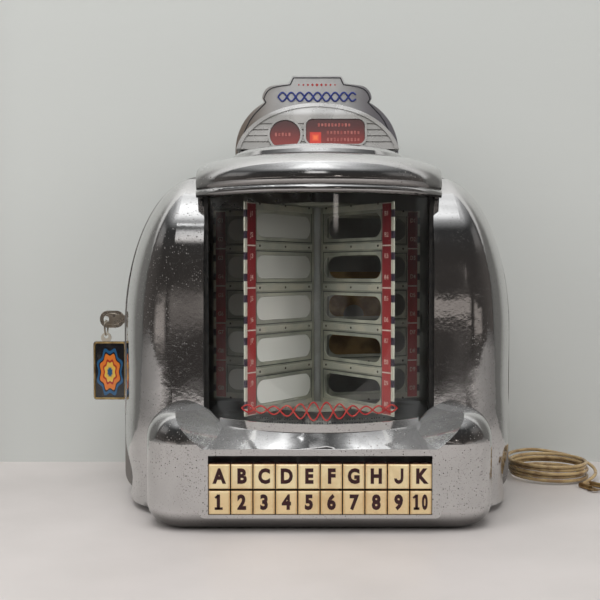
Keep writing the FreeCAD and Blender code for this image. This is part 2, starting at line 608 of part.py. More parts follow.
def build_header():
    y = HEADER_Y + 0.2
    plate = front_plate(header_outline(), y, y + HEADER_THICK)
    below = HEADER_FOOT - 7.0
    hole = arch(NECK - 0.2, y - 1, y + HEADER_THICK + 1, below)
    plate = plate.cut(hole).cut(box(-ARCH_HALF, ARCH_HALF, y - 1, y + 5, below, HEAD_LOW))
    plate = plate.cut(rod(WHEEL_RADIUS + 0.8, (0, 0, below), (0, 0, HEAD_LOW)))
    save("header_plate", plate)


def build_carousel():
    low_disc = LEAF_LOW - 0.4 - HUB_DISC_THICK
    spindle = fuse(rod(SPINDLE_RADIUS, (0, 0, FACET_TOP - 5.0), (0, 0, WHEEL_LOW + 6.0)),
                   rod(LEAF_HUB - 0.2, (0, 0, low_disc - 1.5), (0, 0, LEAF_HIGH + 3.5)))
    save("spindle", spindle)
    discs = []
    for z in (low_disc, LEAF_HIGH + 0.4):
        disc = rod(HUB_DISC, (0, 0, z), (0, 0, z + HUB_DISC_THICK))
        discs.append(disc.cut(rod(LEAF_HUB - 0.15, (0, 0, z - 1), (0, 0, z + 9))))
    save("carousel_discs", *discs)
    wheel = turned([(10, WHEEL_LOW), (14, WHEEL_LOW), (14, WHEEL_LOW + 5), (WHEEL_RADIUS - 8, WHEEL_LOW + 5),
                    (WHEEL_RADIUS - 4, WHEEL_LOW + 0.2), (WHEEL_RADIUS - 1, WHEEL_LOW + 0.2),
                    (WHEEL_RADIUS, WHEEL_LOW + 2.5), (WHEEL_RADIUS - 1.2, WHEEL_LOW + 5.2),
                    (WHEEL_RADIUS - 4, WHEEL_LOW + 7.6), (WHEEL_RADIUS - 9, WHEEL_LOW + 9.4),
                    (WHEEL_RADIUS - 18, WHEEL_HIGH), (0, WHEEL_HIGH), (0, WHEEL_LOW + 6.1),
                    (10, WHEEL_LOW + 6.1)])
    save("page_wheel", wheel.cut(rod(SPINDLE_RADIUS + 0.02, (0, 0, WHEEL_LOW - 1), (0, 0, WHEEL_LOW + 6.1))))

    leaf = box(LEAF_HUB, LEAF_RADIUS, -LEAF_THICK / 2, LEAF_THICK / 2, LEAF_LOW, LEAF_HIGH)
    middle = (LEAF_LOW + LEAF_HIGH) / 2
    cards, bars, strips = [], [], []
    for slot in range(SLOTS):
        z = middle + (slot - (SLOTS - 1) / 2) * SLOT_PITCH
        window = rounded(SLOT_START, SLOT_START + SLOT_LENGTH, z - SLOT_HIGH / 2, z + SLOT_HIGH / 2,
                         SLOT_CORNER, -2, 2)
        leaf = leaf.cut(window)
        inner = 0.3
        card = rounded(SLOT_START + inner, SLOT_START + SLOT_LENGTH - inner, z - SLOT_HIGH / 2 + inner,
                       z + SLOT_HIGH / 2 - inner, SLOT_CORNER - inner, -CARD_THICK / 2, CARD_THICK / 2)
        cards.append(card)
    face = LEAF_THICK / 2
    for row in range(SLOTS + 1):
        z = middle + (row - SLOTS / 2) * SLOT_PITCH
        z = min(max(z, LEAF_LOW + BAR_WIDE / 2 + 0.3), LEAF_HIGH - BAR_WIDE / 2 - 0.3)
        for y0, y1 in ((face, face + BAR_PROUD), (-face - BAR_PROUD, -face)):
            bars.append(box(LEAF_HUB + 4, INDEX_START - 0.5, y0, y1, z - BAR_WIDE / 2, z + BAR_WIDE / 2))
    for y0, y1 in ((face, face + INDEX_PROUD), (-face - INDEX_PROUD, -face)):
        strips.append(box(INDEX_START, INDEX_START + INDEX_WIDE, y0, y1, LEAF_LOW + 0.5, LEAF_HIGH - 0.5))

    def around(solids, chosen=range(LEAVES)):
        placed = []
        for index in chosen:
            turn = -90.0 + 180.0 / LEAVES + index * 360.0 / LEAVES
            for solid in solids:
                copy = solid.copy()
                copy.rotate(V(0, 0, 0), V(0, 0, 1), turn)
                placed.append(copy)
        return placed

    save("program_leaves", *around([leaf]))
    save("title_bars", *around(bars))
    save("index_strips", *around(strips))
    save("title_cards", *around(cards, CARD_LEAVES))


def build_lock():
    side = -HALF_WIDTH
    inside = side + BARREL_LONG

    def turned_piece(radius, x0, x1):
        return rod(radius, (x0, LOCK_Y, LOCK_Z), (x1, LOCK_Y, LOCK_Z))

    barrel = fuse(turned_piece(BARREL_RADIUS, side - BARREL_LIP, side),
                  turned_piece(BARREL_RADIUS - 1.1, side, inside),
                  turned_piece(BARREL_RADIUS + 1.5, side + WALL + 1.0, side + WALL + 4.0))
    save("lock_barrel", barrel.cut(turned_piece(PLUG_RADIUS + RUNNING, side - 5, inside + 2)))
    cam_x = inside + 0.6
    plug = turned_piece(PLUG_RADIUS, side - BARREL_LIP + 0.2, cam_x)
    cam = box(cam_x, cam_x + CAM_THICK, LOCK_Y - CAM_HALF, LOCK_Y + CAM_REACH,
              LOCK_Z - CAM_HALF, LOCK_Z + CAM_HALF)
    blade = box(side - BOW_GAP - 3.0, side - BARREL_LIP + 0.4, LOCK_Y - 0.9, LOCK_Y + 0.9,
                LOCK_Z - KEY_BLADE, LOCK_Z + KEY_BLADE)
    bow_x = side - BOW_GAP - BOW_LONG / 2
    bow = rounded(bow_x - BOW_LONG / 2, bow_x + BOW_LONG / 2, LOCK_Z - BOW_HIGH / 2, LOCK_Z + BOW_HIGH / 2,
                  BOW_HIGH / 2 - 0.3, LOCK_Y - BOW_THICK / 2, LOCK_Y + BOW_THICK / 2)
    hole_x = bow_x - BOW_LONG / 2 + 5.0
    bow = bow.cut(rod(BOW_HOLE, (hole_x, LOCK_Y - 5, LOCK_Z), (hole_x, LOCK_Y + 5, LOCK_Z)))
    save("lock_key", fuse(plug, cam, blade, bow))
    hang = LOCK_Z - BOW_HOLE + RING_WIRE + HANG_GAP
    ring_z = hang - RING_RADIUS
    loop = Part.makeTorus(RING_RADIUS, RING_WIRE, V(hole_x, LOCK_Y, ring_z), V(1, 0, 0))
    save("key_ring", loop)
    eye = ring_z - RING_RADIUS - FOB_EYE + RING_WIRE + HANG_GAP / 2
    top = eye - 1.2
    fob_x = hole_x + 3.0
    fob = rounded(fob_x - FOB_WIDE / 2, fob_x + FOB_WIDE / 2, top - FOB_HIGH - 3.0, top - 3.0, FOB_CORNER,
                  LOCK_Y - FOB_THICK / 2, LOCK_Y + FOB_THICK / 2)
    ear = rod(4.2, (hole_x, LOCK_Y - 0.9, top), (hole_x, LOCK_Y + 0.9, top))
    stem = box(hole_x - 2.5, hole_x + 2.5, LOCK_Y - 0.9, LOCK_Y + 0.9, top - 4.5, top)
    hole = rod(FOB_EYE, (hole_x, LOCK_Y - 5, eye), (hole_x, LOCK_Y + 5, eye))
    save("key_fob", fuse(fob, ear, stem).cut(hole))
    print(f"ring pivot {hole_x:.2f}, {hang:.2f}; fob pivot z {ring_z - RING_RADIUS:.2f}")


# ===================================================================== chassis
def build_back_plate():
    front, back = WALL_PLANE - PLATE, WALL_PLANE
    plate = front_plate(elevation(0.0, front), front, back)
    tower = box(-TURRET_HALF, TURRET_HALF, front, back, SHOULDER_TOP - 2, TURRET_TOP)
    neck = arch(NECK, front, back, TURRET_TOP - 2)
    plate = fuse(plate, tower, neck)
    for x in (-MOUNT_X, MOUNT_X):
        for z in (MOUNT_LOW, MOUNT_HIGH):
            plate = plate.cut(rod(MOUNT_RADIUS, (x, front - 1, z), (x, back + 1, z)))
    for radius, y in ((GROMMET_NECK, front - 1), (GROMMET_FLANGE + 3 * FIT_GAP, back - FLANGE_THICK)):
        plate = plate.cut(rod(radius, (GROMMET_X, y, GROMMET_Z), (GROMMET_X, back + 1, GROMMET_Z)))
    rib_front = front - 6.0
    rib = front_plate(elevation(WALL + 0.5, rib_front), rib_front, front)
    rib = rib.cut(front_plate(elevation(WALL + 2.5, rib_front - 1), rib_front - 1, front + 1))
    rib = rib.common(box(-HALF_WIDTH, HALF_WIDTH, rib_front, front, 8.0, 236.0))
    save("back_plate", fuse(plate, rib))
    inner, outer = front - FLANGE_THICK, back - FLANGE_THICK
    bush = fuse(rod(GROMMET_FLANGE, (GROMMET_X, inner, GROMMET_Z), (GROMMET_X, front, GROMMET_Z)),
                rod(GROMMET_NECK - FIT_GAP, (GROMMET_X, front, GROMMET_Z), (GROMMET_X, outer, GROMMET_Z)),
                rod(GROMMET_FLANGE, (GROMMET_X, outer, GROMMET_Z), (GROMMET_X, back, GROMMET_Z)))
    bore = rod(LEAD / 2 + FIT_GAP, (GROMMET_X, front - 9, GROMMET_Z), (GROMMET_X, back + 9, GROMMET_Z))
    save("cable_grommet", bush.cut(bore))


def build_shelf():
    back = WALL_PLANE - PLATE
    top = SHELF_Z + SHEET
    shelf = box(-SHELF_HALF, SHELF_HALF, SHELF_FRONT, back, SHELF_Z, top)
    flange = box(-SHELF_HALF + 12, SHELF_HALF - 12, back - SHEET, back, SHELF_Z - 14.0, SHELF_Z + 0.5)
    legs = [box(x, x + SHEET, SHELF_FRONT, back, FLOOR_GAP, SHELF_Z + 0.5)
            for x in (-SHELF_HALF, SHELF_HALF - SHEET)]
    posts, post_x = [], SHELF_HALF - POST_INSET
    for side in (1, -1):
        x0, x1 = sorted((side * post_x, side * (post_x + SHEET)))
        posts.append(box(x0, x1, LAMP_Y - 8.0, LAMP_Y + 8.0, SHELF_Z, POST_HIGH))
        x0, x1 = sorted((side * post_x, side * SHELF_HALF))
        for z in LAMP_LEVELS:
            posts.append(box(x0, x1, LAMP_Y - 6.0, LAMP_Y + 6.0, z, z + SHEET))
    shelf = fuse(shelf, flange, *legs, *posts)
    coin_hole = box(-105.0, -94.0, 34.0, 84.0, SHELF_Z - 1, top + 1)
    save("chassis_shelf", shelf.cut(coin_hole))

    bulbs = []
    for side in (1, -1):
        x = side * (SHELF_HALF - LAMP_INSET)
        for z in LAMP_LEVELS:
            cap_top, bulb_z = z + CAP_HIGH, z + CAP_HIGH + BULB_RISE
            cap = rod(CAP_RADIUS, (x, LAMP_Y, z + SHEET), (x, LAMP_Y, cap_top))
            neck = rod(BULB_NECK, (x, LAMP_Y, cap_top), (x, LAMP_Y, bulb_z))
            bulbs.append(fuse(cap, neck, Part.makeSphere(BULB_RADIUS, V(x, LAMP_Y, bulb_z))))
    save("lamps", *bulbs)


def key_bars():
    """The twenty keys, each a cap with its flat sliding bar."""
    names = "abcdefghjk"
    for column in range(COLUMNS):
        x = (column - (COLUMNS - 1) / 2) * KEY_PITCH
        rows = ((f"key_{names[column]}", LETTER_LOW, LETTER_HIGH),
                (f"key_{column + 1}", NUMBER_LOW, NUMBER_HIGH))
        for name, low, high in rows:
            cap = box(x - KEY_WIDTH / 2, x + KEY_WIDTH / 2, KEY_FACE, KEY_FACE + KEY_DEPTH, low, high)
            rim = edges_where(cap, lambda p: abs(p.y - KEY_FACE) < 0.01)
            cap = cap.makeChamfer(KEY_EDGE, rim)
            middle = (low + high) / 2
            bar = box(x - BAR_THICK / 2, x + BAR_THICK / 2, KEY_FACE + KEY_DEPTH, BAR_END,
                      middle - BAR_HIGH / 2, middle + BAR_HIGH / 2)
            bar_top = middle + BAR_HIGH / 2
            notch = box(x - 5, x + 5, NOTCH_FRONT, NOTCH_BACK, bar_top - NOTCH_DEEP, bar_top + 1)
            save(name, cap, bar.cut(notch))


def row_middles():
    return (LETTER_LOW + LETTER_HIGH) / 2, (NUMBER_LOW + NUMBER_HIGH) / 2


def build_key_bank():
    low, high = GUIDE_LOW, SHELF_Z - GUIDE_TOP_GAP
    plates = [box(-GUIDE_HALF, GUIDE_HALF, y, y + GUIDE_SHEET, low, high) for y in (GUIDE_FRONT, GUIDE_BACK)]
    cheeks = [box(x, x + GUIDE_SHEET, GUIDE_FRONT, GUIDE_BACK + GUIDE_SHEET, low, high)
              for x in (-GUIDE_HALF, GUIDE_HALF - GUIDE_SHEET)]
    floor = box(-GUIDE_HALF, GUIDE_HALF, GUIDE_FRONT, GUIDE_BACK + GUIDE_SHEET, low - GUIDE_SHEET, low)
    arms = [box(x - ARM_HALF, x + ARM_HALF, GUIDE_BACK, SHELF_FRONT + ARM_REACH, high, SHELF_Z)
            for x in (-ARM_X, ARM_X)]
    frame = fuse(*plates, *cheeks, floor, *arms)
    for column in range(COLUMNS):
        x = (column - (COLUMNS - 1) / 2) * KEY_PITCH
        for middle in row_middles():
            half, tall = BAR_THICK / 2 + BAR_CLEAR, BAR_HIGH / 2 + BAR_CLEAR
            slot = box(x - half, x + half, GUIDE_FRONT - 1, GUIDE_BACK + 5, middle - tall, middle + tall)
            frame = frame.cut(slot)
    for middle in row_middles():
        pivot = middle + BAR_HIGH / 2 + LATCH_RISE
        ends = (-GUIDE_HALF - 1, LATCH_Y, pivot), (GUIDE_HALF + 1, LATCH_Y, pivot)
        frame = frame.cut(rod(LATCH_SHAFT + RUNNING, *ends))
    save("key_guide", frame)

    combs = []
    near, far = BAR_END + FINGER_GAP, BAR_END + FINGER_GAP + FINGER_THICK
    for middle in row_middles():
        root = middle - COMB_LOW + COMB_HIGH
        foot = box(-COMB_HALF, COMB_HALF, GUIDE_BACK + GUIDE_SHEET, far, middle - COMB_LOW, root)
        fingers = [box(x - FINGER_HALF, x + FINGER_HALF, near, far, root, middle + FINGER_RISE)
                   for x in [(c - (COLUMNS - 1) / 2) * KEY_PITCH for c in range(COLUMNS)]]
        combs.append(fuse(foot, *fingers))
    save("key_springs", *combs)

    for name, middle in zip(("letter_latch", "number_latch"), row_middles()):
        bar_top = middle + BAR_HIGH / 2
        pivot, blade_low = bar_top + LATCH_RISE, bar_top + BLADE_RISE
        shaft = rod(LATCH_SHAFT, (-GUIDE_HALF - 1.5, LATCH_Y, pivot), (GUIDE_HALF + 1.5, LATCH_Y, pivot))
        lip_front, lip_back = LATCH_LIP_Y - LIP_THICK / 2, LATCH_LIP_Y + LIP_THICK / 2
        blade = box(-BLADE_HALF, BLADE_HALF, LATCH_Y, lip_back, blade_low, blade_low + BLADE_THICK)
        web = box(-BLADE_HALF, BLADE_HALF, LATCH_Y - 0.9, LATCH_Y + 0.9, blade_low, pivot)
        lip = box(-BLADE_HALF, BLADE_HALF, lip_front, lip_back, bar_top + LIP_GAP, blade_low + 0.5)
        save(name, fuse(shaft, blade, web, lip))


def gear(teeth, thick, x, y, z, bore, phase=0.0):
    """Spur gear with straight-flanked teeth of involute proportions."""
    pitch = MODULE * teeth / 2
    root, tip = pitch - 1.2 * MODULE, pitch + MODULE
    wide = math.pi * MODULE / 2
    blank = rod(root, (x, y, z), (x, y, z + thick))
    cogs = []
    for tooth in range(teeth):
        angle = phase + tooth * 360.0 / teeth
        cog = polygon([(root - 0.4, -0.62 * wide, z), (pitch, -0.45 * wide, z), (tip, -0.25 * wide, z),
                       (tip, 0.25 * wide, z), (pitch, 0.45 * wide, z), (root - 0.4, 0.62 * wide, z)])
        solid = Part.Face(cog).extrude(V(0, 0, thick))
        solid.rotate(V(0, 0, 0), V(0, 0, 1), angle)
        solid.translate(V(x, y, 0))
        cogs.append(solid)
    return fuse(blank, *cogs).cut(rod(bore, (x, y, z - 1), (x, y, z + thick + 1)))


def build_selector():
    """Contact disc with its wiper, driven through a gear by the geared motor."""
    top = DISC_LOW + DISC_THICK
    disc = rod(DISC_RADIUS, (DISC_X, DISC_Y, DISC_LOW), (DISC_X, DISC_Y, top))
    disc = disc.cut(rod(AXLE_RADIUS + RUNNING, (DISC_X, DISC_Y, DISC_LOW - 1), (DISC_X, DISC_Y, top + 1)))
    studs = []
    for inset, count in STUD_RINGS:
        for index in range(count):
            angle = 2 * math.pi * index / count
            x = DISC_X + (DISC_RADIUS - inset) * math.cos(angle)
            y = DISC_Y + (DISC_RADIUS - inset) * math.sin(angle)
            studs.append(rod(STUD_RADIUS, (x, y, top - 1.0), (x, y, top + STUD_PROUD)))
    pillars = []
    for x in (DISC_X - PILLAR_SPREAD, DISC_X + PILLAR_SPREAD):
        for y in (DISC_Y - PILLAR_SPREAD, DISC_Y + PILLAR_SPREAD):
            pillars.append(rod(PILLAR_RADIUS, (x, y, top), (x, y, SHELF_Z)))
            disc = disc.fuse(rod(PAD_RADIUS, (x, y, DISC_LOW), (x, y, top)))
    save("contact_disc", fuse(disc, *studs, *pillars))

    gear_low = DISC_LOW + GEAR_RISE
    reach = DISC_X + DISC_RADIUS - STUD_RINGS[0][0] + SHOE_HALF
    arm = box(DISC_X, reach, DISC_Y - WIPER_HALF, DISC_Y + WIPER_HALF,
              DISC_LOW + WIPER_LOW, DISC_LOW + WIPER_HIGH)
    shoe = box(reach - SHOE_LONG, reach, DISC_Y - SHOE_HALF, DISC_Y + SHOE_HALF,
               DISC_LOW + SHOE_LOW, DISC_LOW + WIPER_LOW + 0.5)
    rotor = fuse(gear(WHEEL_TEETH, GEAR_THICK, DISC_X, DISC_Y, gear_low, AXLE_RADIUS - 1.0),
                 rod(AXLE_RADIUS, (DISC_X, DISC_Y, DISC_LOW - 6.0), (DISC_X, DISC_Y, gear_low + 8.0)),
                 rod(HUB_RADIUS, (DISC_X, DISC_Y, DISC_LOW + 6.0), (DISC_X, DISC_Y, gear_low + 0.5)),
                 arm, shoe)
    save("wiper_rotor", rotor)

    motor_x = DISC_X - MODULE * (WHEEL_TEETH + PINION_TEETH) / 2 - MESH_PLAY
    motor_low = gear_low + MOTOR_RISE
    body = rod(MOTOR_RADIUS, (motor_x, DISC_Y, motor_low), (motor_x, DISC_Y, SHELF_Z))
    bore = rod(MOTOR_SHAFT + RUNNING, (motor_x, DISC_Y, motor_low - 1), (motor_x, DISC_Y, motor_low + 13))
    save("drive_motor", body.cut(bore))
    half_tooth = 180.0 / PINION_TEETH
    pinion = gear(PINION_TEETH, GEAR_THICK + 1.0, motor_x, DISC_Y, gear_low - 0.5,
                  MOTOR_SHAFT - 1.0, half_tooth)
    shaft = rod(MOTOR_SHAFT, (motor_x, DISC_Y, gear_low - 2.0), (motor_x, DISC_Y, motor_low + 11.0))
    save("motor_pinion", fuse(pinion, shaft))
    print(f"wiper axis {DISC_X, DISC_Y}, motor axis {motor_x, DISC_Y}")


def build_latch_solenoid():
    """Solenoid on the shelf whose plunger draws both latch bars."""
    x, z, front, back = SOLENOID_X, SOLENOID_Z, SOLENOID_FRONT, SOLENOID_BACK
    frame = box(x - SOLENOID_HALF, x + SOLENOID_HALF, front, back, z - SOLENOID_HIGH, z + SOLENOID_HIGH)
    frame = frame.cut(box(x - SOLENOID_HALF - 1, x + SOLENOID_HALF + 1, front + YOKE, back - YOKE,
                          z - SOLENOID_HIGH + YOKE, z + SOLENOID_HIGH - YOKE))
    foot = box(x - 8, x + 8, front + 2 * YOKE, back - 2 * YOKE, z + SOLENOID_HIGH, SHELF_Z)
    coil = rod(COIL_RADIUS, (x, front + YOKE, z), (x, back - YOKE, z))
    bore = rod(PLUNGER_RADIUS + RUNNING, (x, front - 2, z), (x, back - 2 * YOKE, z))
    save("latch_solenoid", fuse(frame, coil, foot).cut(bore))
    plunger = fuse(rod(PLUNGER_RADIUS, (x, PLUNGER_OUT, z), (x, PLUNGER_IN, z)),
                   rod(PLUNGER_HEAD, (x, PLUNGER_OUT - HEAD_THICK, z), (x, PLUNGER_OUT, z)))
    save("solenoid_plunger", plunger)


def build_coin_path():
    """Chute from the coin head to the rejector, the rejector and the cash box."""
    back = WALL_PLANE - PLATE
    sheet = CHUTE_SHEET
    head_low, head_high = HEAD_LOW + CHUTE_RISE, HEAD_LOW + CHUTE_RISE + CHUTE_HIGH
    low, high = CROSS_LOW, CROSS_HIGH
    drop_0, drop_1 = DROP_X
    stretches = [(-34.0, -12.0, 6.0, 74.0, head_low, head_high),
                 (-34.0, -2.0, 73.0, CHUTE_BACK, head_low, head_high),
                 (-20.0, -2.0, 75.0, CHUTE_BACK, low, head_high),
                 (drop_0, -2.0, 75.0, CHUTE_BACK, low, high),
                 (drop_0, drop_1, 68.0, CHUTE_BACK, REJECTOR_HIGH + 0.3, high)]
    duct = fuse(*[box(*stretch) for stretch in stretches])
    for x0, x1, y0, y1, z0, z1 in stretches:
        open_front = 3.0 if y0 < 10.0 else 0.0
        open_below = 3.0 if z0 < low else 0.0
        duct = duct.cut(box(x0 + sheet, x1 - sheet, y0 + sheet - open_front, y1 - sheet,
                            z0 + sheet - open_below, z1 - sheet))
    inner = CHUTE_BACK - 2.0
    for passage in ((-32.0, -14.0, 70.0, 78.0, head_low + sheet, head_high - sheet),
                    (-18.0, -4.0, 77.0, inner, low + sheet + 2, head_high - sheet),
                    (drop_0 + sheet, drop_1 - sheet, 76.5, inner, low - 5, high - sheet)):
        duct = duct.cut(box(*passage))
    save("coin_chute", fuse(duct, box(-80.0, -60.0, CHUTE_BACK, back, low, high)))

    x0, x1 = REJECTOR_X
    rejector = box(x0, x1, 22.0, back, SHELF_Z + SHEET + 50.0, REJECTOR_HIGH)
    slot = box(x0 + 2.0, x1 - 2.0, 30.0, 88.0, SHELF_Z + 40.0, REJECTOR_HIGH + 1.0)
    y, z, radius = MAGNET
    rejector = fuse(rejector.cut(slot), rod(radius, (x0 - 1.5, y, z), (x0, y, z)))
    for gap in (z - 22.0, z, z + 22.0):
        rejector = rejector.cut(box(x1 - 3.0, x1 + 1.0, 40.0, 72.0, gap, gap + 6.0))
    x0, x1, z0, z1 = CRADLE
    cradle = box(x0, x1, back - sheet, back, z0, z1)
    x, z, radius = CRADLE_HOLE
    save("slug_rejector", rejector, cradle.cut(rod(radius, (x, back - 10, z), (x, back + 10, z))))

    x0, x1, y0, z0, z1 = TIN
    y1 = back - TIN_GAP
    tin = box(x0, x1, y0, y1, z0, z1).cut(box(x0 + 1, x1 - 1, y0 + 1, y1 - 1, z0 + 1, z1 + 1))
    save("cash_box", tin)

    screws = []
    flange_y, shelf_y, shelf_top = back - SHEET, SHELF_FRONT + 22.0, SHELF_Z + SHEET
    for side in (-1, 1):
        x = side * 80.0
        screws.append(rod(SCREW_RADIUS, (x, flange_y - 2.0, SHELF_Z - 8.0), (x, flange_y, SHELF_Z - 8.0)))
        x = side * ARM_X
        screws.append(rod(SCREW_RADIUS, (x, shelf_y, shelf_top), (x, shelf_y, shelf_top + 1.6)))
    save("chassis_screws", *screws)


def build_spindle_bracket():
    """Lower bearing of the spindle, an arm from the window's sill."""
    top = FACET_TOP - WALL
    arm = box(-9.0, 9.0, -SILL_INNER - 2.5, 10.0, top - 3.0, top)
    arm = arm.common(rod(SILL_INNER + 2.0, (0, 0, top - 5), (0, 0, top + 1)))
    save("spindle_bracket", arm.cut(rod(SPINDLE_RADIUS + RUNNING, (0, 0, top - 5), (0, 0, top + 5))))


# ======================================================================== lead
LEAD_POINTS = [
    (GROMMET_X, WALL_PLANE, GROMMET_Z), (GROMMET_X, WALL_PLANE + 15.0, GROMMET_Z - 1.0),
    (128.0, 124.0, 20.0), (138.0, 131.0, 9.0),
    (151.0, 131.0, 1.9), (167.0, 121.0, 1.6), (182.0, 103.5, 1.6),
]
COIL_CENTRE = (199.0, 66.0)
COIL_OUTER, COIL_INNER, COIL_HIGH = 42.0, 22.0, 16.0


def tube_path(points):
    """Straight runs joined by tangent arcs, as one wire; prints the radii."""
    corners = [V(*point) for point in points]
    edges, radii = [], []
    start = corners[0]
    for before, corner, after in zip(corners, corners[1:], corners[2:]):
        into, out = corner - before, after - corner
        half_turn = into.getAngle(out) / 2
        trim = 0.45 * min(into.Length, out.Length)
        radii.append(trim / math.tan(half_turn))
        into.normalize()
        out.normalize()
        first, last = corner - into * trim, corner + out * trim
        towards = out - into
        towards.normalize()
        centre = corner + towards * (radii[-1] / math.cos(half_turn))
        middle = centre - towards * radii[-1]
        edges += [Part.LineSegment(start, first).toShape(), Part.Arc(first, middle, last).toShape()]
        start = last
    edges.append(Part.LineSegment(start, corners[-1]).toShape())
    print("lead radii", [round(radius, 1) for radius in radii])
    return Part.Wire(edges)


def build_lead():
    path = tube_path(LEAD_POINTS)
    start, after = V(*LEAD_POINTS[0]), V(*LEAD_POINTS[1])
    section = Part.Wire(Part.makeCircle(LEAD / 2, start, after - start))
    tube = path.makePipeShell([section], True, False)
    cx, cy = COIL_CENTRE
    coil = ring(COIL_OUTER, COIL_INNER, 0.0, COIL_HIGH, cx, cy)
    tube = tube.cut(coil)
    print(f"lead tube {tube.Volume / (math.pi * LEAD ** 2 / 4):.1f} mm of {path.Length:.1f} mm path")
    save("feed_lead", tube)
    save("lead_coil", coil)
    lugs = []
    for turn in (-67.0, -52.0):
        start = COIL_OUTER + 0.3
        lug = fuse(rod(2.0, (start, 0, 2.0), (start + 12.0, 0, 2.0)),
                   box(start + 11.5, start + 20.0, -3.5, 3.5, 1.6, 2.4))
        lug = lug.cut(rod(1.8, (start + 16.0, 0, 0), (start + 16.0, 0, 5)))
        lug.rotate(V(0, 0, 0), V(0, 0, 1), turn)
        lug.translate(V(cx, cy, 0.0))
        lugs.append(lug)
    save("lead_lugs", *lugs)


build_cover()
build_window()
build_coin_panel()
build_header()
build_carousel()
build_spindle_bracket()
build_lock()
build_back_plate()
build_shelf()
key_bars()
build_key_bank()
build_selector()
build_latch_solenoid()
build_coin_path()
build_lead()
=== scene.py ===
# %% [markdown]
# # A wall box selector, dressed in Blender
#
# The construction is ready: every cast, stamped and turned piece comes from the CAD frame at its
# real size.  This lesson gives those pieces their finishes and adds what is too fine for the
# frame: legends, rivets, slot rims, printed ornaments and the feed lead.

import json
import math

import bmesh
import bpy
from mathutils import Matrix, Vector


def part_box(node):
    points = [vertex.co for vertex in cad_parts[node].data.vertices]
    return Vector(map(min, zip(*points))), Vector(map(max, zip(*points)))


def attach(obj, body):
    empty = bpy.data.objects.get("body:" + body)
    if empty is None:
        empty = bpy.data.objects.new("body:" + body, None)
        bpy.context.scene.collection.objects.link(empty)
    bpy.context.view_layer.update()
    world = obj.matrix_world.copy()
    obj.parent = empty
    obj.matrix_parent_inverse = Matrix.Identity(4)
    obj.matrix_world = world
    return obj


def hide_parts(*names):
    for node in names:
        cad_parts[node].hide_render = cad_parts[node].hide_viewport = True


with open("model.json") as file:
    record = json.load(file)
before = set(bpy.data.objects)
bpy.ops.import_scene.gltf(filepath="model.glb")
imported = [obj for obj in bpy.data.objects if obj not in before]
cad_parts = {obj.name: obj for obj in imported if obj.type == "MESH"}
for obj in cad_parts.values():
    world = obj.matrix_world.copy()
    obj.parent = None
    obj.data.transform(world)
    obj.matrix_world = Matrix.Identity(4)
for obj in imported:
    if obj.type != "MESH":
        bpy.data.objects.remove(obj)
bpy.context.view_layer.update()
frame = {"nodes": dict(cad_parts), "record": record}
MM = 0.001

# %% [markdown]
# ## Camera
#
# The camera is made first, because the lead's free length must lie inside or just beside its view.
# It stands at half the selector's height with a fairly long lens and looks down by less than two
# degrees, so uprights stay upright.

# %% Camera
CAMERA_PLACE = Vector((-13.5, -703.0, 176.0)) * MM
CAMERA_TILT = math.radians(1.8)
LENS = 54.0

camera = bpy.data.objects.new("camera", bpy.data.cameras.new("camera"))
camera.data.lens = LENS
camera.location = CAMERA_PLACE
camera.rotation_euler = (math.radians(90.0) - CAMERA_TILT, 0.0, 0.0)
bpy.context.collection.objects.link(camera)
bpy.context.scene.camera = camera
bpy.context.scene.view_settings.view_transform = "Standard"
print("camera at", tuple(round(c, 3) for c in camera.location))

# %% [markdown]
# ## The feed lead
#
# A springy lead of 2.8 mm leaves the grommet in the back plate, drops to the table and lies there
# in loose turns.  It is one NURBS curve: the route's own points first, then the turns, which a
# loop works out.  The turns differ in size and climb over each other; the last one swings out and
# comes down to the two ring lugs.

# %% Route of the lead
LEAD = 2.8
LEAD_ROUTE = [
    (122.0, 96.0, 30.0), (122.0, 111.0, 29.0), (128.0, 124.0, 20.0), (138.0, 131.0, 9.0),
    (151.0, 131.0, 1.9), (167.0, 121.0, 1.6), (182.0, 103.5, 1.6),
]
COIL_CENTRE = (199.0, 66.0)
COIL_RADII = (34.0, 29.5, 35.0, 30.5, 33.5)      # one for each turn
COIL_START = math.radians(102.0)
COIL_END = math.radians(-62.0)
PER_TURN = 14
FIRST_LEVEL, CLIMB = 1.8, 2.9                    # height of the first turn, rise with each turn
STRAY, STRAY_RATE = 1.2, 2.7                     # how far the turns wander from their circles
END_STEPS, END_RADIUS, END_LEVEL = 9, 40.6, 2.0  # the last steps swing out and down


def round_coil(radius, angle, height):
    """A point at a radius and angle from the coil's centre, in millimetres."""
    return (COIL_CENTRE[0] + radius * math.cos(angle), COIL_CENTRE[1] + radius * math.sin(angle), height)


def coil_points():
    """Clockwise turns that climb, then a last part turn out and down to the lugs."""
    sweep = COIL_START - COIL_END + 2 * math.pi * len(COIL_RADII)
    steps = round(sweep / (2 * math.pi) * PER_TURN)
    points = []
    for step in range(steps + 1):
        turn = step / PER_TURN
        first = min(int(turn), len(COIL_RADII) - 1)
        after = min(first + 1, len(COIL_RADII) - 1)
        blend = turn - int(turn)
        radius = COIL_RADII[first] * (1 - blend) + COIL_RADII[after] * blend
        radius += STRAY * math.sin(STRAY_RATE * turn)
        height = FIRST_LEVEL + CLIMB * turn
        out = max(0.0, (step - steps + END_STEPS) / END_STEPS)
        radius += (END_RADIUS - radius) * min(1.0, 1.9 * out)            # outwards at once,
        height += (END_LEVEL - height) * max(0.0, 1.5 * out - 0.5)       # down a little later
        points.append(round_coil(radius, COIL_START - sweep * step / steps, height))
    return points


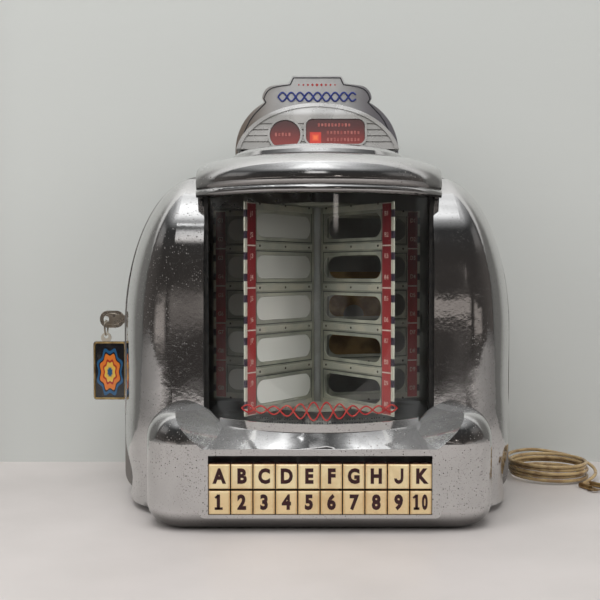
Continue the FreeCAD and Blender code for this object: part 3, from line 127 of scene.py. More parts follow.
# %% The lead as a curve
def nurbs(name, points, diameter):
    """One open NURBS spline through the given control points, in millimetres, with a round bevel."""
    curve = bpy.data.curves.new(name, "CURVE")
    curve.dimensions = "3D"
    curve.bevel_depth = 1.0             # times each point's radius
    curve.bevel_resolution = 4
    curve.resolution_u = 6
    spline = curve.splines.new("NURBS")
    spline.points.add(len(points) - 1)
    for point, place in zip(spline.points, points):
        point.co = (*(c * MM for c in place), 1.0)
        point.radius = diameter * MM / 2
    spline.order_u = 3
    spline.use_endpoint_u = True
    piece = bpy.data.objects.new(name, curve)
    bpy.context.collection.objects.link(piece)
    return piece


def line_length(piece):
    """Length of a curve's own line."""
    bare = piece.data.copy()
    bare.bevel_depth = 0.0
    probe = bpy.data.objects.new("probe", bare)
    mesh = bpy.data.meshes.new_from_object(probe)
    ends = [[mesh.vertices[index].co for index in edge.vertices] for edge in mesh.edges]
    total = sum((first - second).length for first, second in ends)
    bpy.data.objects.remove(probe)
    bpy.data.meshes.remove(mesh)
    return total


lead = nurbs("feed_lead_run", LEAD_ROUTE + coil_points(), LEAD)
LEAD_LENGTH = line_length(lead)
print(f"lead: {len(lead.data.splines[0].points)} points, {LEAD_LENGTH:.3f} m")

# %% Two tails to the lugs
TAIL = 1.9
LUG_ANGLES = (-67.0, -52.0)
LUG_ROOT = 43.5
last = coil_points()[-1]
tails = []
for number, angle in enumerate(LUG_ANGLES, 1):
    root = round_coil(LUG_ROOT, math.radians(angle), END_LEVEL)
    middle = tuple((p + q) / 2 for p, q in zip(last, root))
    tails.append(nurbs(f"lead_tail_{number}", [last, middle, root], TAIL))
for piece in [lead] + tails:
    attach(piece, "chassis")
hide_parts("feed_lead", "lead_coil")
print("lead declared with", len(tails), "tails")

# %% [markdown]
# ## Effects that several finishes share
#
# Wear, pits, brushing and scratches are node groups, built once.  Each puts out only values that
# change over the surface; the shader itself stays in the material, with its constants on its own
# sockets.  Groups keep the look consistent: the same kind of pit marks the casting and the key.


# %% Node helpers
def sockets(tree, inputs, outputs):
    """Give a node group its float inputs, with defaults, and its outputs; returns both inside it."""
    for name, value in inputs:
        tree.interface.new_socket(name, in_out="INPUT", socket_type="NodeSocketFloat").default_value = value
    for name in outputs:
        tree.interface.new_socket(name, in_out="OUTPUT", socket_type="NodeSocketFloat")
    return tree.nodes.new("NodeGroupInput").outputs, tree.nodes.new("NodeGroupOutput").inputs


def feed(tree, socket, value):
    """Link a socket to another one, or set it to a plain number."""
    if isinstance(value, bpy.types.NodeSocket):
        tree.links.new(value, socket)
    else:
        socket.default_value = value


def math_node(operation, first, second=None, clamp=False):
    """A Math node fed by sockets or plain numbers; returns its output.  A socket knows its tree."""
    tree = (first if isinstance(first, bpy.types.NodeSocket) else second).id_data
    node = tree.nodes.new("ShaderNodeMath")
    node.operation = operation
    node.use_clamp = clamp
    feed(tree, node.inputs[0], first)
    if second is not None:
        feed(tree, node.inputs[1], second)
    return node.outputs[0]


def times(first, second):
    return math_node("MULTIPLY", first, second)


def plus(first, second):
    return math_node("ADD", first, second)


def minus(first, second):
    return math_node("SUBTRACT", first, second)


def larger(first, second):
    return math_node("MAXIMUM", first, second)


def away(value, middle):
    """Distance of a value from a middle."""
    return math_node("ABSOLUTE", minus(value, middle))


def axes(tree, kind="Object"):
    """X, Y and Z of a texture coordinate, as sockets by name."""
    split = tree.nodes.new("ShaderNodeSeparateXYZ")
    tree.links.new(tree.nodes.new("ShaderNodeTexCoord").outputs[kind], split.inputs[0])
    return split.outputs


def ramp(value, low, high, out_low=0.0, out_high=1.0):
    """Smooth step of a value from low to high; returns its output."""
    tree = value.id_data
    node = tree.nodes.new("ShaderNodeMapRange")
    node.interpolation_type = "SMOOTHSTEP"
    for name, number in (("From Min", low), ("From Max", high), ("To Min", out_low), ("To Max", out_high)):
        feed(tree, node.inputs[name], number)
    tree.links.new(value, node.inputs["Value"])
    return node.outputs["Result"]


def fade(value, low, high):
    """Smooth step of a length between two others, in millimetres."""
    return ramp(value, low * MM, high * MM)


def noise(tree, scale, detail=3.0, stretch=None):
    """Noise on Object coordinates, stretched by a Mapping node if asked; returns its value."""
    where = tree.nodes.new("ShaderNodeTexCoord").outputs["Object"]
    if stretch:
        mapping = tree.nodes.new("ShaderNodeMapping")
        mapping.inputs["Scale"].default_value = stretch
        tree.links.new(where, mapping.inputs["Vector"])
        where = mapping.outputs["Vector"]
    node = tree.nodes.new("ShaderNodeTexNoise")
    node.inputs["Detail"].default_value = detail
    node.inputs["Roughness"].default_value = 0.5
    feed(tree, node.inputs["Scale"], scale)
    tree.links.new(where, node.inputs["Vector"])
    return node.outputs["Fac"]


# %% Wear: large soft patches
wear = bpy.data.node_groups.new("wear", "ShaderNodeTree")
given, result = sockets(wear, (("Scale", 20.0), ("Low", 0.4), ("High", 0.6)), ("Patch",))
patch = ramp(noise(wear, given["Scale"], 5.0), given["Low"], given["High"])
wear.links.new(patch, result["Patch"])
print("group", wear.name)

# %% Pitting: clusters of small round pits
PIT_BIAS, LARGEST_PIT = 3.0, 0.42       # most pits are small; the largest in cells of the pattern
CLUSTER_EDGE = 0.12
pitting = bpy.data.node_groups.new("pitting", "ShaderNodeTree")
given, result = sockets(pitting, (("Scale", 700.0), ("Cluster", 22.0), ("Share", 0.5)), ("Pit", "Height"))
cells = pitting.nodes.new("ShaderNodeTexVoronoi")
pitting.links.new(pitting.nodes.new("ShaderNodeTexCoord").outputs["Object"], cells.inputs["Vector"])
pitting.links.new(given["Scale"], cells.inputs["Scale"])
lot = pitting.nodes.new("ShaderNodeSeparateColor")
pitting.links.new(cells.outputs["Color"], lot.inputs[0])
reach = times(math_node("POWER", lot.outputs[0], PIT_BIAS), LARGEST_PIT)
speck = math_node("LESS_THAN", cells.outputs["Distance"], reach)
area = ramp(noise(pitting, given["Cluster"], 4.0), given["Share"], plus(given["Share"], CLUSTER_EDGE))
pit = times(speck, area)
pitting.links.new(pit, result["Pit"])
pitting.links.new(minus(1.0, pit), result["Height"])
print("group", pitting.name)

# %% Scratches: long thin lines in two directions
SCRATCH_WAYS = ((1.0, 0.35, 0.05), (0.07, 0.4, 1.0))     # noise drawn out upwards, and sideways
scratches = bpy.data.node_groups.new("scratches", "ShaderNodeTree")
given, result = sockets(scratches, (("Scale", 60.0), ("Width", 0.012)), ("Line",))
lines = []
for stretch in SCRATCH_WAYS:
    off = away(noise(scratches, given["Scale"], 1.0, stretch), 0.5)
    widths = math_node("DIVIDE", off, given["Width"])
    thin = math_node("SUBTRACT", 1.0, widths, clamp=True)
    where = ramp(noise(scratches, 31.0, 2.0), 0.56, 0.62)
    lines.append(times(thin, where))
scratches.links.new(larger(*lines), result["Line"])
print("group", scratches.name)

# %% Brushing: fine parallel grain along X or Z
GRAIN_STRETCH = 0.03
brushing = bpy.data.node_groups.new("brushing", "ShaderNodeTree")
given, result = sockets(brushing, (("Scale", 900.0), ("Upright", 0.0)), ("Grain",))
along_x = noise(brushing, given["Scale"], 3.0, (GRAIN_STRETCH, 1.0, 1.0))
along_z = noise(brushing, given["Scale"], 3.0, (1.0, 1.0, GRAIN_STRETCH))
keep_x = minus(1.0, given["Upright"])
grain = plus(times(along_x, keep_x), times(along_z, given["Upright"]))
brushing.links.new(grain, result["Grain"])
print("group", brushing.name)


# %% [markdown]
# ## A material kit
#
# Every finish starts from one Principled shader.  Small helpers add to it: a group node, a blend
# of two colours or of two values by a mask, and a bump.  Many finishes differ only in their
# colours and in how they wear, so one more helper makes those whole.  What is the same all over
# stays a plain number on the shader's socket.


# %% Material helpers
def finish(name, colour, metallic=0.0, roughness=0.5, **extra):
    """A material with a Principled shader and plain values."""
    material = bpy.data.materials.new(name)
    material.use_nodes = True
    shader = shader_of(material)
    shader.inputs["Base Color"].default_value = (*colour, 1.0)
    shader.inputs["Metallic"].default_value = metallic
    shader.inputs["Roughness"].default_value = roughness
    for key, value in extra.items():
        shader.inputs[key.replace("_", " ")].default_value = value
    return material


def shader_of(material):
    """A material's Principled shader."""
    return material.node_tree.nodes["Principled BSDF"]


def effect(material, group, **values):
    """Place a shared group in a material with its own values; returns its outputs."""
    node = material.node_tree.nodes.new("ShaderNodeGroup")
    node.node_tree = group
    for key, value in values.items():
        node.inputs[key].default_value = value
    return node.outputs


def patches(material, scale, low, high):
    """Soft patches of wear in a material, as a mask."""
    return effect(material, wear, Scale=scale, Low=low, High=high)["Patch"]


def colour_mix(material, mask, first, second, place="Base Color"):
    """Blend two colours, or sockets, by a mask into a socket of the shader; returns the blend."""
    tree = material.node_tree
    node = tree.nodes.new("ShaderNodeMix")
    node.data_type = "RGBA"
    tree.links.new(mask, node.inputs["Factor"])
    for value, socket in ((first, node.inputs[6]), (second, node.inputs[7])):
        feed(tree, socket, value if isinstance(value, bpy.types.NodeSocket) else (*value, 1.0))
    if place:
        tree.links.new(node.outputs[2], shader_of(material).inputs[place])
    return node.outputs[2]


def value_mix(material, mask, low, high, place="Roughness"):
    """Let a mask move one of the shader's values between low and high."""
    material.node_tree.links.new(ramp(mask, 0.0, 1.0, low, high), shader_of(material).inputs[place])


def bump(material, height, strength, distance):
    """Bump from a height socket; distance in millimetres."""
    tree = material.node_tree
    node = tree.nodes.new("ShaderNodeBump")
    node.inputs["Strength"].default_value = strength
    node.inputs["Distance"].default_value = distance * MM
    tree.links.new(height, node.inputs["Height"])
    tree.links.new(node.outputs["Normal"], shader_of(material).inputs["Normal"])


def height_mask(material, low, high):
    """Mask that goes from 0 to 1 between two heights, in millimetres."""
    return fade(axes(material.node_tree)["Z"], low, high)


def patchy(name, metallic, roughness, wearing, clean, worn, **extra):
    """A finish that wears in patches from one colour to another.

    roughness is one number, or a pair for clean and worn; wearing is the patches' scale and limits.
    """
    pair = isinstance(roughness, tuple)
    material = finish(name, clean, metallic, roughness[0] if pair else roughness, **extra)
    mask = patches(material, *wearing)
    colour_mix(material, mask, clean, worn)
    if pair:
        value_mix(material, mask, *roughness)
    return material


def dress(slot, material):
    """Give a material to every CAD node whose record slot has that name."""
    chosen = [part["node"] for part in frame["record"]["subparts"] if part["material_slot"] == slot]
    for node in chosen:
        piece = frame["nodes"][node]
        piece.data.materials.clear()
        piece.data.materials.append(material)
    print(f"{slot}: {len(chosen)} nodes")


# %% [markdown]
# ## Plated casting
#
# The cover is a zinc casting, ground, polished and plated.  After decades the plating is bright
# but not clean: it is hazy in patches, pitted in clusters and crossed by hairlines.  Painted shade
# darkens the step round its sides in patches, pale dust on its top faces also paints the sheen they
# catch from the ceiling, and painted shade darkens its under faces; there it is no mirror any more.
# So four masks darken the colour or take the metal away, and a bump fine enough to break the
# reflections up does the rest.

# %% Plated casting
CHROME, CHROME_DULL = (0.6, 0.595, 0.59), (0.2, 0.185, 0.17)
plated = finish("plated_casting", CHROME, 1.0, 0.1)
tree = plated.node_tree
haze = patches(plated, 17.0, 0.36, 0.66)
fine = effect(plated, pitting, Scale=1300.0, Cluster=20.0, Share=0.36)
coarse = effect(plated, pitting, Scale=700.0, Cluster=15.0, Share=0.47)
hair = effect(plated, scratches, Scale=70.0, Width=0.007)
pits = larger(times(fine["Pit"], 0.6), coarse["Pit"])
marks = larger(times(pits, 0.8), times(hair["Line"], 0.12))

# %% Painted shade in the step round the cover
# Painted shade: the step round the cover's sides is darkened in patches, and is no mirror there.
OUTLINE_CENTRE, OUTLINE_WAIST, OUTLINE_WIDE, OUTLINE_HIGH = 92.0, 130.0, 61.0, 121.0
SIDE_SHADE_EDGE = (0.74, 0.92)               # shares of the outline's radius between which it starts
SIDE_SHADE_BACK, SIDE_SHADE_FRONT = (16.0, 12.0), (-22.0, -4.0)    # Y between which it fades in


def squared_share(value, whole):
    """The square of a length's share of a whole one, in millimetres; 0 where it is negative."""
    share = math_node("DIVIDE", larger(value, 0.0), whole * MM)
    return math_node("POWER", share, 2.0)


at = axes(tree)
from_centre = minus(math_node("ABSOLUTE", at["X"]), OUTLINE_CENTRE * MM)
across = squared_share(from_centre, OUTLINE_WIDE)
along = squared_share(minus(at["Z"], OUTLINE_WAIST * MM), OUTLINE_HIGH)
edge = ramp(math_node("SQRT", plus(across, along)), *SIDE_SHADE_EDGE)
for start, full in (SIDE_SHADE_BACK, SIDE_SHADE_FRONT):
    edge = times(edge, fade(at["Y"], start, full))
side_shade = times(edge, times(patches(plated, 24.0, 0.2, 0.55), 0.85))
# The pits and hairlines are wear; the darkened step joins them, and is painted shade.
dirt_and_shade = larger(marks, side_shade)

# %% Dust and painted sheen on top faces, painted shade on under faces
DUST_AND_SHEEN, UNDER_SHADE = (0.82, 0.82, 0.81), (0.07, 0.062, 0.058)
facing = tree.nodes.new("ShaderNodeSeparateXYZ")
tree.links.new(tree.nodes.new("ShaderNodeNewGeometry").outputs["Normal"], facing.inputs[0])
# Pale dust on the top faces, which also paints the soft sheen they catch from the ceiling.
dust_and_sheen = times(ramp(facing.outputs["Z"], 0.35, 0.9), 0.32)
# Painted shade on the under faces, for the shadowed table below them.
under = times(ramp(facing.outputs["Z"], -0.12, -0.6), 0.8)
base = colour_mix(plated, dirt_and_shade, CHROME, CHROME_DULL, None)
base = colour_mix(plated, dust_and_sheen, base, DUST_AND_SHEEN, None)
colour_mix(plated, under, base, UNDER_SHADE)
not_mirror = larger(dust_and_sheen, times(dirt_and_shade, 0.6))
value_mix(plated, not_mirror, 1.0, 0.0, "Metallic")

# %% Roughness and bump of the plating
rough = plus(times(haze, 0.08), 0.045)
rough = math_node("ADD", rough, times(dirt_and_shade, 0.25), clamp=True)
tree.links.new(rough, shader_of(plated).inputs["Roughness"])
orange_peel = plus(noise(tree, 110.0, 3.0), times(noise(tree, 420.0, 2.0), 0.35))
bump(plated, plus(times(coarse["Height"], 0.4), orange_peel), 0.26, 0.16)
dress("plated_casting", plated)

# %% [markdown]
# ## Ribbed panel, header and lock
#
# These are plated too, but none is a mirror.  The ribbed panel is satin, with a painted highlight
# along its top.  The header plate is brushed, and its two sides are painted darker than its middle:
# painted shade where they catch less light.  The key and lock are nickel with the brass showing
# through.

# %% Ribbed panel
RIB_HIGHLIGHT = (296.0, 300.0)               # heights between which the top is painted pale: a painted highlight
ribbed = finish("ribbed_panel", (0.7, 0.7, 0.69), 0.6, 0.26)
value_mix(ribbed, patches(ribbed, 40.0, 0.35, 0.7), 0.2, 0.38)
pits = effect(ribbed, pitting, Scale=1100.0, Cluster=40.0, Share=0.5)
# A painted highlight: the top is painted pale, the rest darker.
field = colour_mix(ribbed, height_mask(ribbed, *RIB_HIGHLIGHT), (0.5, 0.49, 0.47), (0.82, 0.82, 0.81), None)
colour_mix(ribbed, times(pits["Pit"], 0.6), field, (0.28, 0.26, 0.25))
bump(ribbed, pits["Height"], 0.2, 0.1)
dress("ribbed_panel", ribbed)

# %% Brushed header
HEADER_LEFT, HEADER_MIDDLE, HEADER_RIGHT = (0.3, 0.25, 0.21), (0.8, 0.8, 0.79), (0.24, 0.23, 0.25)
LEFT_FADE, RIGHT_FADE = (-60.0, -20.0), (8.0, 48.0)      # X between which the tints change
brushed = finish("brushed_header", (0.66, 0.65, 0.64), 0.5, 0.4)
at = axes(brushed.node_tree)
# The two sides are painted darker than the middle: painted shade.
painted_sides = colour_mix(brushed, fade(at["X"], *LEFT_FADE), HEADER_LEFT, HEADER_MIDDLE, None)
painted_sides = colour_mix(brushed, fade(at["X"], *RIGHT_FADE), painted_sides, HEADER_RIGHT, None)
colour_mix(brushed, times(patches(brushed, 60.0, 0.35, 0.7), 0.25), painted_sides, (0.3, 0.28, 0.27))
grain = effect(brushed, brushing, Scale=1400.0, Upright=0.0)["Grain"]
value_mix(brushed, grain, 0.3, 0.5)
bump(brushed, grain, 0.25, 0.08)
dress("brushed_header", brushed)

# %% Worn nickel
nickel = patchy("worn_nickel", 1.0, (0.16, 0.42), (120.0, 0.35, 0.65), (0.66, 0.61, 0.53), (0.4, 0.34, 0.27))
pits = effect(nickel, pitting, Scale=1500.0, Cluster=160.0, Share=0.45)
bump(nickel, pits["Height"], 0.3, 0.08)
dress("worn_nickel", nickel)

# %% [markdown]
# ## Clear, red and black parts
#
# The pane is clear acrylic.  Light has to pass it to reach the title leaves, so shadow rays go
# straight through: a Light Path node mixes the glass with a Transparent shader for them alone.
# The lenses are printed red acrylic.  Their colour carries painted shade at the top, where no lamp
# reaches, and their emission a painted glow of the lamps behind them, hottest in one small square of the
# sign.


# %% Pane
def clear_where(material, node, output):
    """Make a material clear where a new node's output is 1."""
    tree = material.node_tree
    mix = tree.nodes.new("ShaderNodeMixShader")
    tree.links.new(tree.nodes.new(node).outputs[output], mix.inputs[0])
    tree.links.new(shader_of(material).outputs[0], mix.inputs[1])
    tree.links.new(tree.nodes.new("ShaderNodeBsdfTransparent").outputs[0], mix.inputs[2])
    tree.links.new(mix.outputs[0], tree.nodes["Material Output"].inputs["Surface"])


def shadow_free(material):
    """Let shadow rays pass a clear material."""
    clear_where(material, "ShaderNodeLightPath", "Is Shadow Ray")


pane = finish("clear_pane", (0.93, 0.95, 0.94), 0.0, 0.02, Transmission_Weight=1.0, IOR=1.45)
value_mix(pane, patches(pane, 30.0, 0.45, 0.75), 0.015, 0.07)
shadow_free(pane)
dress("clear_pane", pane)

# %% Lenses and rubber
LIT_X, LIT_Z, LIT_HALF, LIT_SOFT = -1.6, 279.0, 4.3, 0.4     # the sign's lit square
LIT_CORE = (3.2, 0.6)                                        # from its middle, where the glow is hottest
LENS_DARK, LENS_LIT = 291.0, 272.0                           # heights between which light fades in
lens = finish("red_lens", (0.2, 0.02, 0.02), 0.0, 0.16, Coat_Weight=0.5, Emission_Strength=0.6)
at = axes(lens.node_tree)
off = larger(away(at["X"], LIT_X * MM), away(at["Z"], LIT_Z * MM))
square = fade(off, LIT_HALF + LIT_SOFT, LIT_HALF - LIT_SOFT)
core = fade(off, *LIT_CORE)
# Painted shade at the top of the lenses, and a painted glow in colour and emission lower down.
lit = height_mask(lens, LENS_DARK, LENS_LIT)
body_colour = colour_mix(lens, lit, (0.06, 0.012, 0.012), (0.17, 0.02, 0.016), None)
colour_mix(lens, square, body_colour, (0.3, 0.02, 0.01))
glow = colour_mix(lens, lit, (0.008, 0.001, 0.001), (0.09, 0.006, 0.005), None)
glow = colour_mix(lens, square, glow, (0.5, 0.02, 0.01), None)
colour_mix(lens, core, glow, (1.0, 0.22, 0.05), "Emission Color")
dress("red_lens", lens)

rubber = patchy("black_rubber", 0.0, (0.45, 0.7), (160.0, 0.4, 0.6), (0.01, 0.01, 0.01), (0.03, 0.028, 0.026))
dress("black_rubber", rubber)

# %% [markdown]
# ## Keys
#
# Each key is moulded in two colours: a cream face on a dark maroon body.  The change of colour
# follows depth, so one material serves all twenty keys.  Finger wear has left the face's edges
# darker and a little orange.

# %% Key material
FACE_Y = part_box("key_a")[0].y
KEY_PITCH, KEY_HALF, KEYS_IN_ROW = 15.0, 7.1, 10
CREAM, CREAM_LOW = (0.86, 0.7, 0.42), (0.78, 0.58, 0.32)
AMBER, MAROON = (0.5, 0.27, 0.1), (0.05, 0.014, 0.018)
SIDE_WEAR = 2.0                         # how far in from its sides a face is worn
AMBER_DEPTH, MAROON_DEPTH = (0.5, 1.4), (2.2, 2.6)       # behind the face
keys = finish("cream_key", CREAM, 0.0, 0.32, Subsurface_Weight=0.04)
at = axes(keys.node_tree)
from_end = plus(at["X"], KEY_PITCH * KEYS_IN_ROW / 2 * MM)
in_row = math_node("MODULO", from_end, KEY_PITCH * MM)
side = fade(away(in_row, KEY_PITCH / 2 * MM), KEY_HALF - SIDE_WEAR, KEY_HALF)
old = patches(keys, 90.0, 0.4, 0.75)
cream = colour_mix(keys, height_mask(keys, 34.0, 24.0), CREAM, CREAM_LOW, None)
cream = colour_mix(keys, times(old, 0.35), cream, AMBER, None)
cream = colour_mix(keys, times(side, 0.4), cream, AMBER, None)
for (start, full), colour in ((AMBER_DEPTH, AMBER), (MAROON_DEPTH, MAROON)):
    cream = colour_mix(keys, ramp(at["Y"], FACE_Y + start * MM, FACE_Y + full * MM), cream, colour)
value_mix(keys, old, 0.25, 0.42)
dress("cream_key", keys)

# %% [markdown]
# ## Title leaves
#
# The leaves are stamped sheet in a grey-green lacquer.  Each stands in a plane through the
# spindle, so distance from the spindle and height are the leaf's own two coordinates, and one
# material can draw the stamped outline round every slot, with painted shade in its crease, and the
# pale notched rim, with painted shade in its notches, on all five.

# %% Leaf sizes
leaf_low, leaf_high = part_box("program_leaves")
LEAF_MIDDLE = (leaf_low.z + leaf_high.z) / 2 / MM
RIM_START, RIM_SOFT = 86.0, 0.2         # the pale rim, by its distance from the spindle
SLOTS, SLOT_PITCH, SLOT_START, SLOT_LENGTH, SLOT_HIGH = 5, 30.0, 9.5, 66.0, 17.5
SLOTS_LOW = LEAF_MIDDLE - SLOT_PITCH * SLOTS / 2
STAMP_OUT, STAMP_UP, STAMP_WIDE = 0.8, 2.6, 0.5      # the outline's distance from its slot, and width
NOTCH_HALF, NOTCH_SOFT = 2.4, 0.5
print(f"leaves centred {LEAF_MIDDLE:.1f} mm above the table")


# %% Leaf lacquer, with painted shade in the stamped outlines
def box_line(across, up, half_across, half_up, width):
    """Mask of the outline of a rectangle, from two centred coordinates in metres."""
    dx = minus(math_node("ABSOLUTE", across), half_across * MM)
    dz = minus(math_node("ABSOLUTE", up), half_up * MM)
    edge = math_node("ABSOLUTE", larger(dx, dz))
    return fade(edge, width, 0.5 * width)


LACQUER, LACQUER_WORN, STAMP_SHADE = (0.27, 0.275, 0.23), (0.4, 0.395, 0.32), (0.05, 0.055, 0.05)
RIM_PALE, NOTCH_SHADE = (0.62, 0.6, 0.5), (0.045, 0.03, 0.05)
leaves = finish("leaf_metal", LACQUER, 0.25, 0.42)
at = axes(leaves.node_tree)
radius = math_node("SQRT", plus(times(at["X"], at["X"]), times(at["Y"], at["Y"])))
across = minus(radius, (SLOT_START + SLOT_LENGTH / 2) * MM)
shifted = minus(at["Z"], SLOTS_LOW * MM)
up = minus(math_node("MODULO", shifted, SLOT_PITCH * MM), SLOT_PITCH / 2 * MM)
# The stamped outline's dark line is painted shade in its crease; the bump draws the crease.
line = box_line(across, up, SLOT_LENGTH / 2 + STAMP_OUT, SLOT_HIGH / 2 + STAMP_UP, STAMP_WIDE)
worn = patches(leaves, 45.0, 0.4, 0.62)
lacquer = colour_mix(leaves, worn, LACQUER, LACQUER_WORN, None)
lacquer = colour_mix(leaves, line, lacquer, STAMP_SHADE, None)
rim = fade(radius, RIM_START - RIM_SOFT, RIM_START + RIM_SOFT)
lacquer = colour_mix(leaves, rim, lacquer, RIM_PALE, None)
# The rim's notches are painted dark: painted shade in the gaps.
from_notch = away(math_node("MODULO", shifted, SLOT_PITCH / 2 * MM), SLOT_PITCH / 4 * MM)
notch = fade(from_notch, NOTCH_HALF + NOTCH_SOFT, NOTCH_HALF)
colour_mix(leaves, times(notch, rim), lacquer, NOTCH_SHADE)
value_mix(leaves, worn, 0.34, 0.5)
bump(leaves, minus(1.0, line), 0.6, 0.3)
dress("leaf_metal", leaves)

# %% Bars
bars = finish("bar_aluminium", (0.52, 0.52, 0.46), 0.55, 0.36)
value_mix(bars, effect(bars, brushing, Scale=900.0, Upright=0.0)["Grain"], 0.28, 0.46)
colour_mix(bars, patches(bars, 60.0, 0.4, 0.65), (0.5, 0.5, 0.43), (0.6, 0.57, 0.47))
dress("bar_aluminium", bars)

# %% Index strips and cards
INDEX_SHADED, INDEX_LIGHT, DIVIDER = (0.16, 0.006, 0.012), (0.36, 0.035, 0.035), (0.62, 0.52, 0.46)
DIVIDER_DROP, DIVIDER_EDGE = 0.4, (1.1, 0.7)     # its start below each row, where it fades and is full
index = finish("red_index", INDEX_SHADED, 0.0, 0.38)
from_row = minus(axes(index.node_tree)["Z"], (SLOTS_LOW - DIVIDER_DROP) * MM)
row = math_node("MODULO", from_row, SLOT_PITCH * MM)
# The strips are painted darker towards the top: painted shade.
red = colour_mix(index, height_mask(index, 215.0, 95.0), INDEX_SHADED, INDEX_LIGHT, None)
colour_mix(index, fade(row, *DIVIDER_EDGE), red, DIVIDER)
value_mix(index, patches(index, 200.0, 0.4, 0.6), 0.3, 0.45)
dress("red_index", index)

paper = finish("card_paper", (0.74, 0.74, 0.7), 0.0, 0.8)
# The cards are painted darker towards the top: painted shade, as their light comes from below.
colour_mix(paper, height_mask(paper, 80.0, 185.0), (0.74, 0.73, 0.68), (0.44, 0.43, 0.39))
bump(paper, noise(paper.node_tree, 900.0, 4.0), 0.2, 0.05)
dress("card_paper", paper)

# %% [markdown]
# ## Inside the box
#
# Behind the leaves one sees passivated steel, brass, tinned sheet and brown phenolic.  They are in
# the shade, but the cover comes off, so each has its own plain finish.

# %% Metals and plastics of the mechanism
for name, metallic, roughness, wearing, clean, worn in (
        ("steel_plate", 0.6, (0.34, 0.55), (30.0, 0.42, 0.64), (0.38, 0.39, 0.385), (0.32, 0.32, 0.3)),
        ("spring_steel", 1.0, 0.28, (90.0, 0.4, 0.6), (0.34, 0.35, 0.38), (0.16, 0.17, 0.22)),
        ("tin_plate", 1.0, (0.26, 0.5), (70.0, 0.42, 0.6), (0.6, 0.6, 0.57), (0.4, 0.38, 0.33)),
        ("phenolic", 0.0, 0.4, (150.0, 0.4, 0.62), (0.11, 0.045, 0.02), (0.05, 0.02, 0.01)),
        ("brass_sheet", 1.0, (0.3, 0.55), (50.0, 0.4, 0.62), (0.5, 0.34, 0.15), (0.3, 0.18, 0.08))):
    dress(name, patchy(name, metallic, roughness, wearing, clean, worn))

screw = finish("screw_steel", (0.5, 0.5, 0.48), 1.0, 0.3)
value_mix(screw, patches(screw, 300.0, 0.4, 0.6), 0.22, 0.45)
dress("screw_steel", screw)

glass = finish("lamp_glass", (0.95, 0.9, 0.8), 0.0, 0.05, Transmission_Weight=0.85, IOR=1.45)
value_mix(glass, patches(glass, 300.0, 0.35, 0.7), 0.04, 0.25)
shadow_free(glass)
dress("lamp_glass", glass)

# %% [markdown]
# ## Lead and fob
#
# The lead has a tan, slightly glossy jacket.  The fob is black enamel with a rosette of eight
# petals in rings of colour: an ellipse round the fob's middle, made larger and smaller by the
# cosine of eight times the angle.  The rings are painted from the largest to the smallest.

# %% Tan lead
tan = patchy("tan_lead", 0.0, (0.22, 0.4), (130.0, 0.4, 0.62), (0.5, 0.36, 0.18), (0.3, 0.19, 0.085),
             Coat_Weight=0.3)
dress("tan_lead", tan)
for piece in [lead] + tails:
    piece.data.materials.append(tan)

# %% Enamel with a rosette
ENAMEL, NAVY = (0.008, 0.008, 0.01), (0.02, 0.1, 0.22)
ORANGE, CRIMSON, YELLOW, BARE_LUG = (0.75, 0.2, 0.03), (0.4, 0.03, 0.02), (0.8, 0.5, 0.08), (0.5, 0.45, 0.37)
ROSETTE_X, ROSETTE_Z, ROSETTE_WIDE, ROSETTE_HIGH = -170.0, 93.5, 10.4, 19.0
PETALS, PETAL_DEPTH, RING_EDGE = 8.0, 0.18, 0.04
FRONT_ONLY = (36.4, 36.2)               # Y between which the fob's front is told from its back
LUG_LEVEL = (118.6, 118.9)              # heights between which enamel ends
RINGS = ((1.0, NAVY), (0.72, ENAMEL), (0.6, ORANGE), (0.3, CRIMSON), (0.2, YELLOW), (0.06, NAVY))

enamel = finish("black_enamel", ENAMEL, 0.0, 0.16, Coat_Weight=0.8)
ground = colour_mix(enamel, patches(enamel, 240.0, 0.45, 0.75), ENAMEL, (0.03, 0.028, 0.028), None)
at = axes(enamel.node_tree)
from_x = math_node("DIVIDE", plus(at["X"], -ROSETTE_X * MM), ROSETTE_WIDE * MM)
from_z = math_node("DIVIDE", minus(at["Z"], ROSETTE_Z * MM), ROSETTE_HIGH * MM)
span = plus(*(math_node("POWER", math_node("ABSOLUTE", part), 2.0) for part in (from_x, from_z)))
angle = math_node("ARCTAN2", from_z, from_x)
petal = math_node("COSINE", times(angle, PETALS))
span = times(span, plus(times(petal, PETAL_DEPTH), 1.0))
front = fade(at["Y"], *FRONT_ONLY)
for limit, paint in RINGS:
    inside = times(ramp(span, limit, limit - RING_EDGE), front)
    ground = colour_mix(enamel, inside, ground, paint)
colour_mix(enamel, height_mask(enamel, *LUG_LEVEL), ground, BARE_LUG)
dress("black_enamel", enamel)

# %% [markdown]
# ## Making pieces
#
# New pieces share a few helpers: a bmesh becomes an object with a material and rides on its body.
# It stays at the origin, so patterns on Object coordinates lie still.


# %% Piece helpers
def object_from(name, mesh, material):
    """Turn a bmesh into an object with a material."""
    data = bpy.data.meshes.new(name)
    mesh.to_mesh(data)
    mesh.free()
    data.materials.append(material)
    made = bpy.data.objects.new(name, data)
    bpy.context.collection.objects.link(made)
    return made


def piece_from(name, mesh, body, material, smooth=False):
    """Turn a bmesh into a piece that rides on a body."""
    piece = object_from(name, mesh, material)
    if smooth:
        piece.data.shade_smooth()
    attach(piece, body)


def block(mesh, place, wide, deep, high):
    """Add a small block to a bmesh.  place is a matrix; sizes in millimetres."""
    bmesh.ops.create_cube(mesh, size=MM, matrix=place @ Matrix.Diagonal((wide, deep, high, 1.0)))


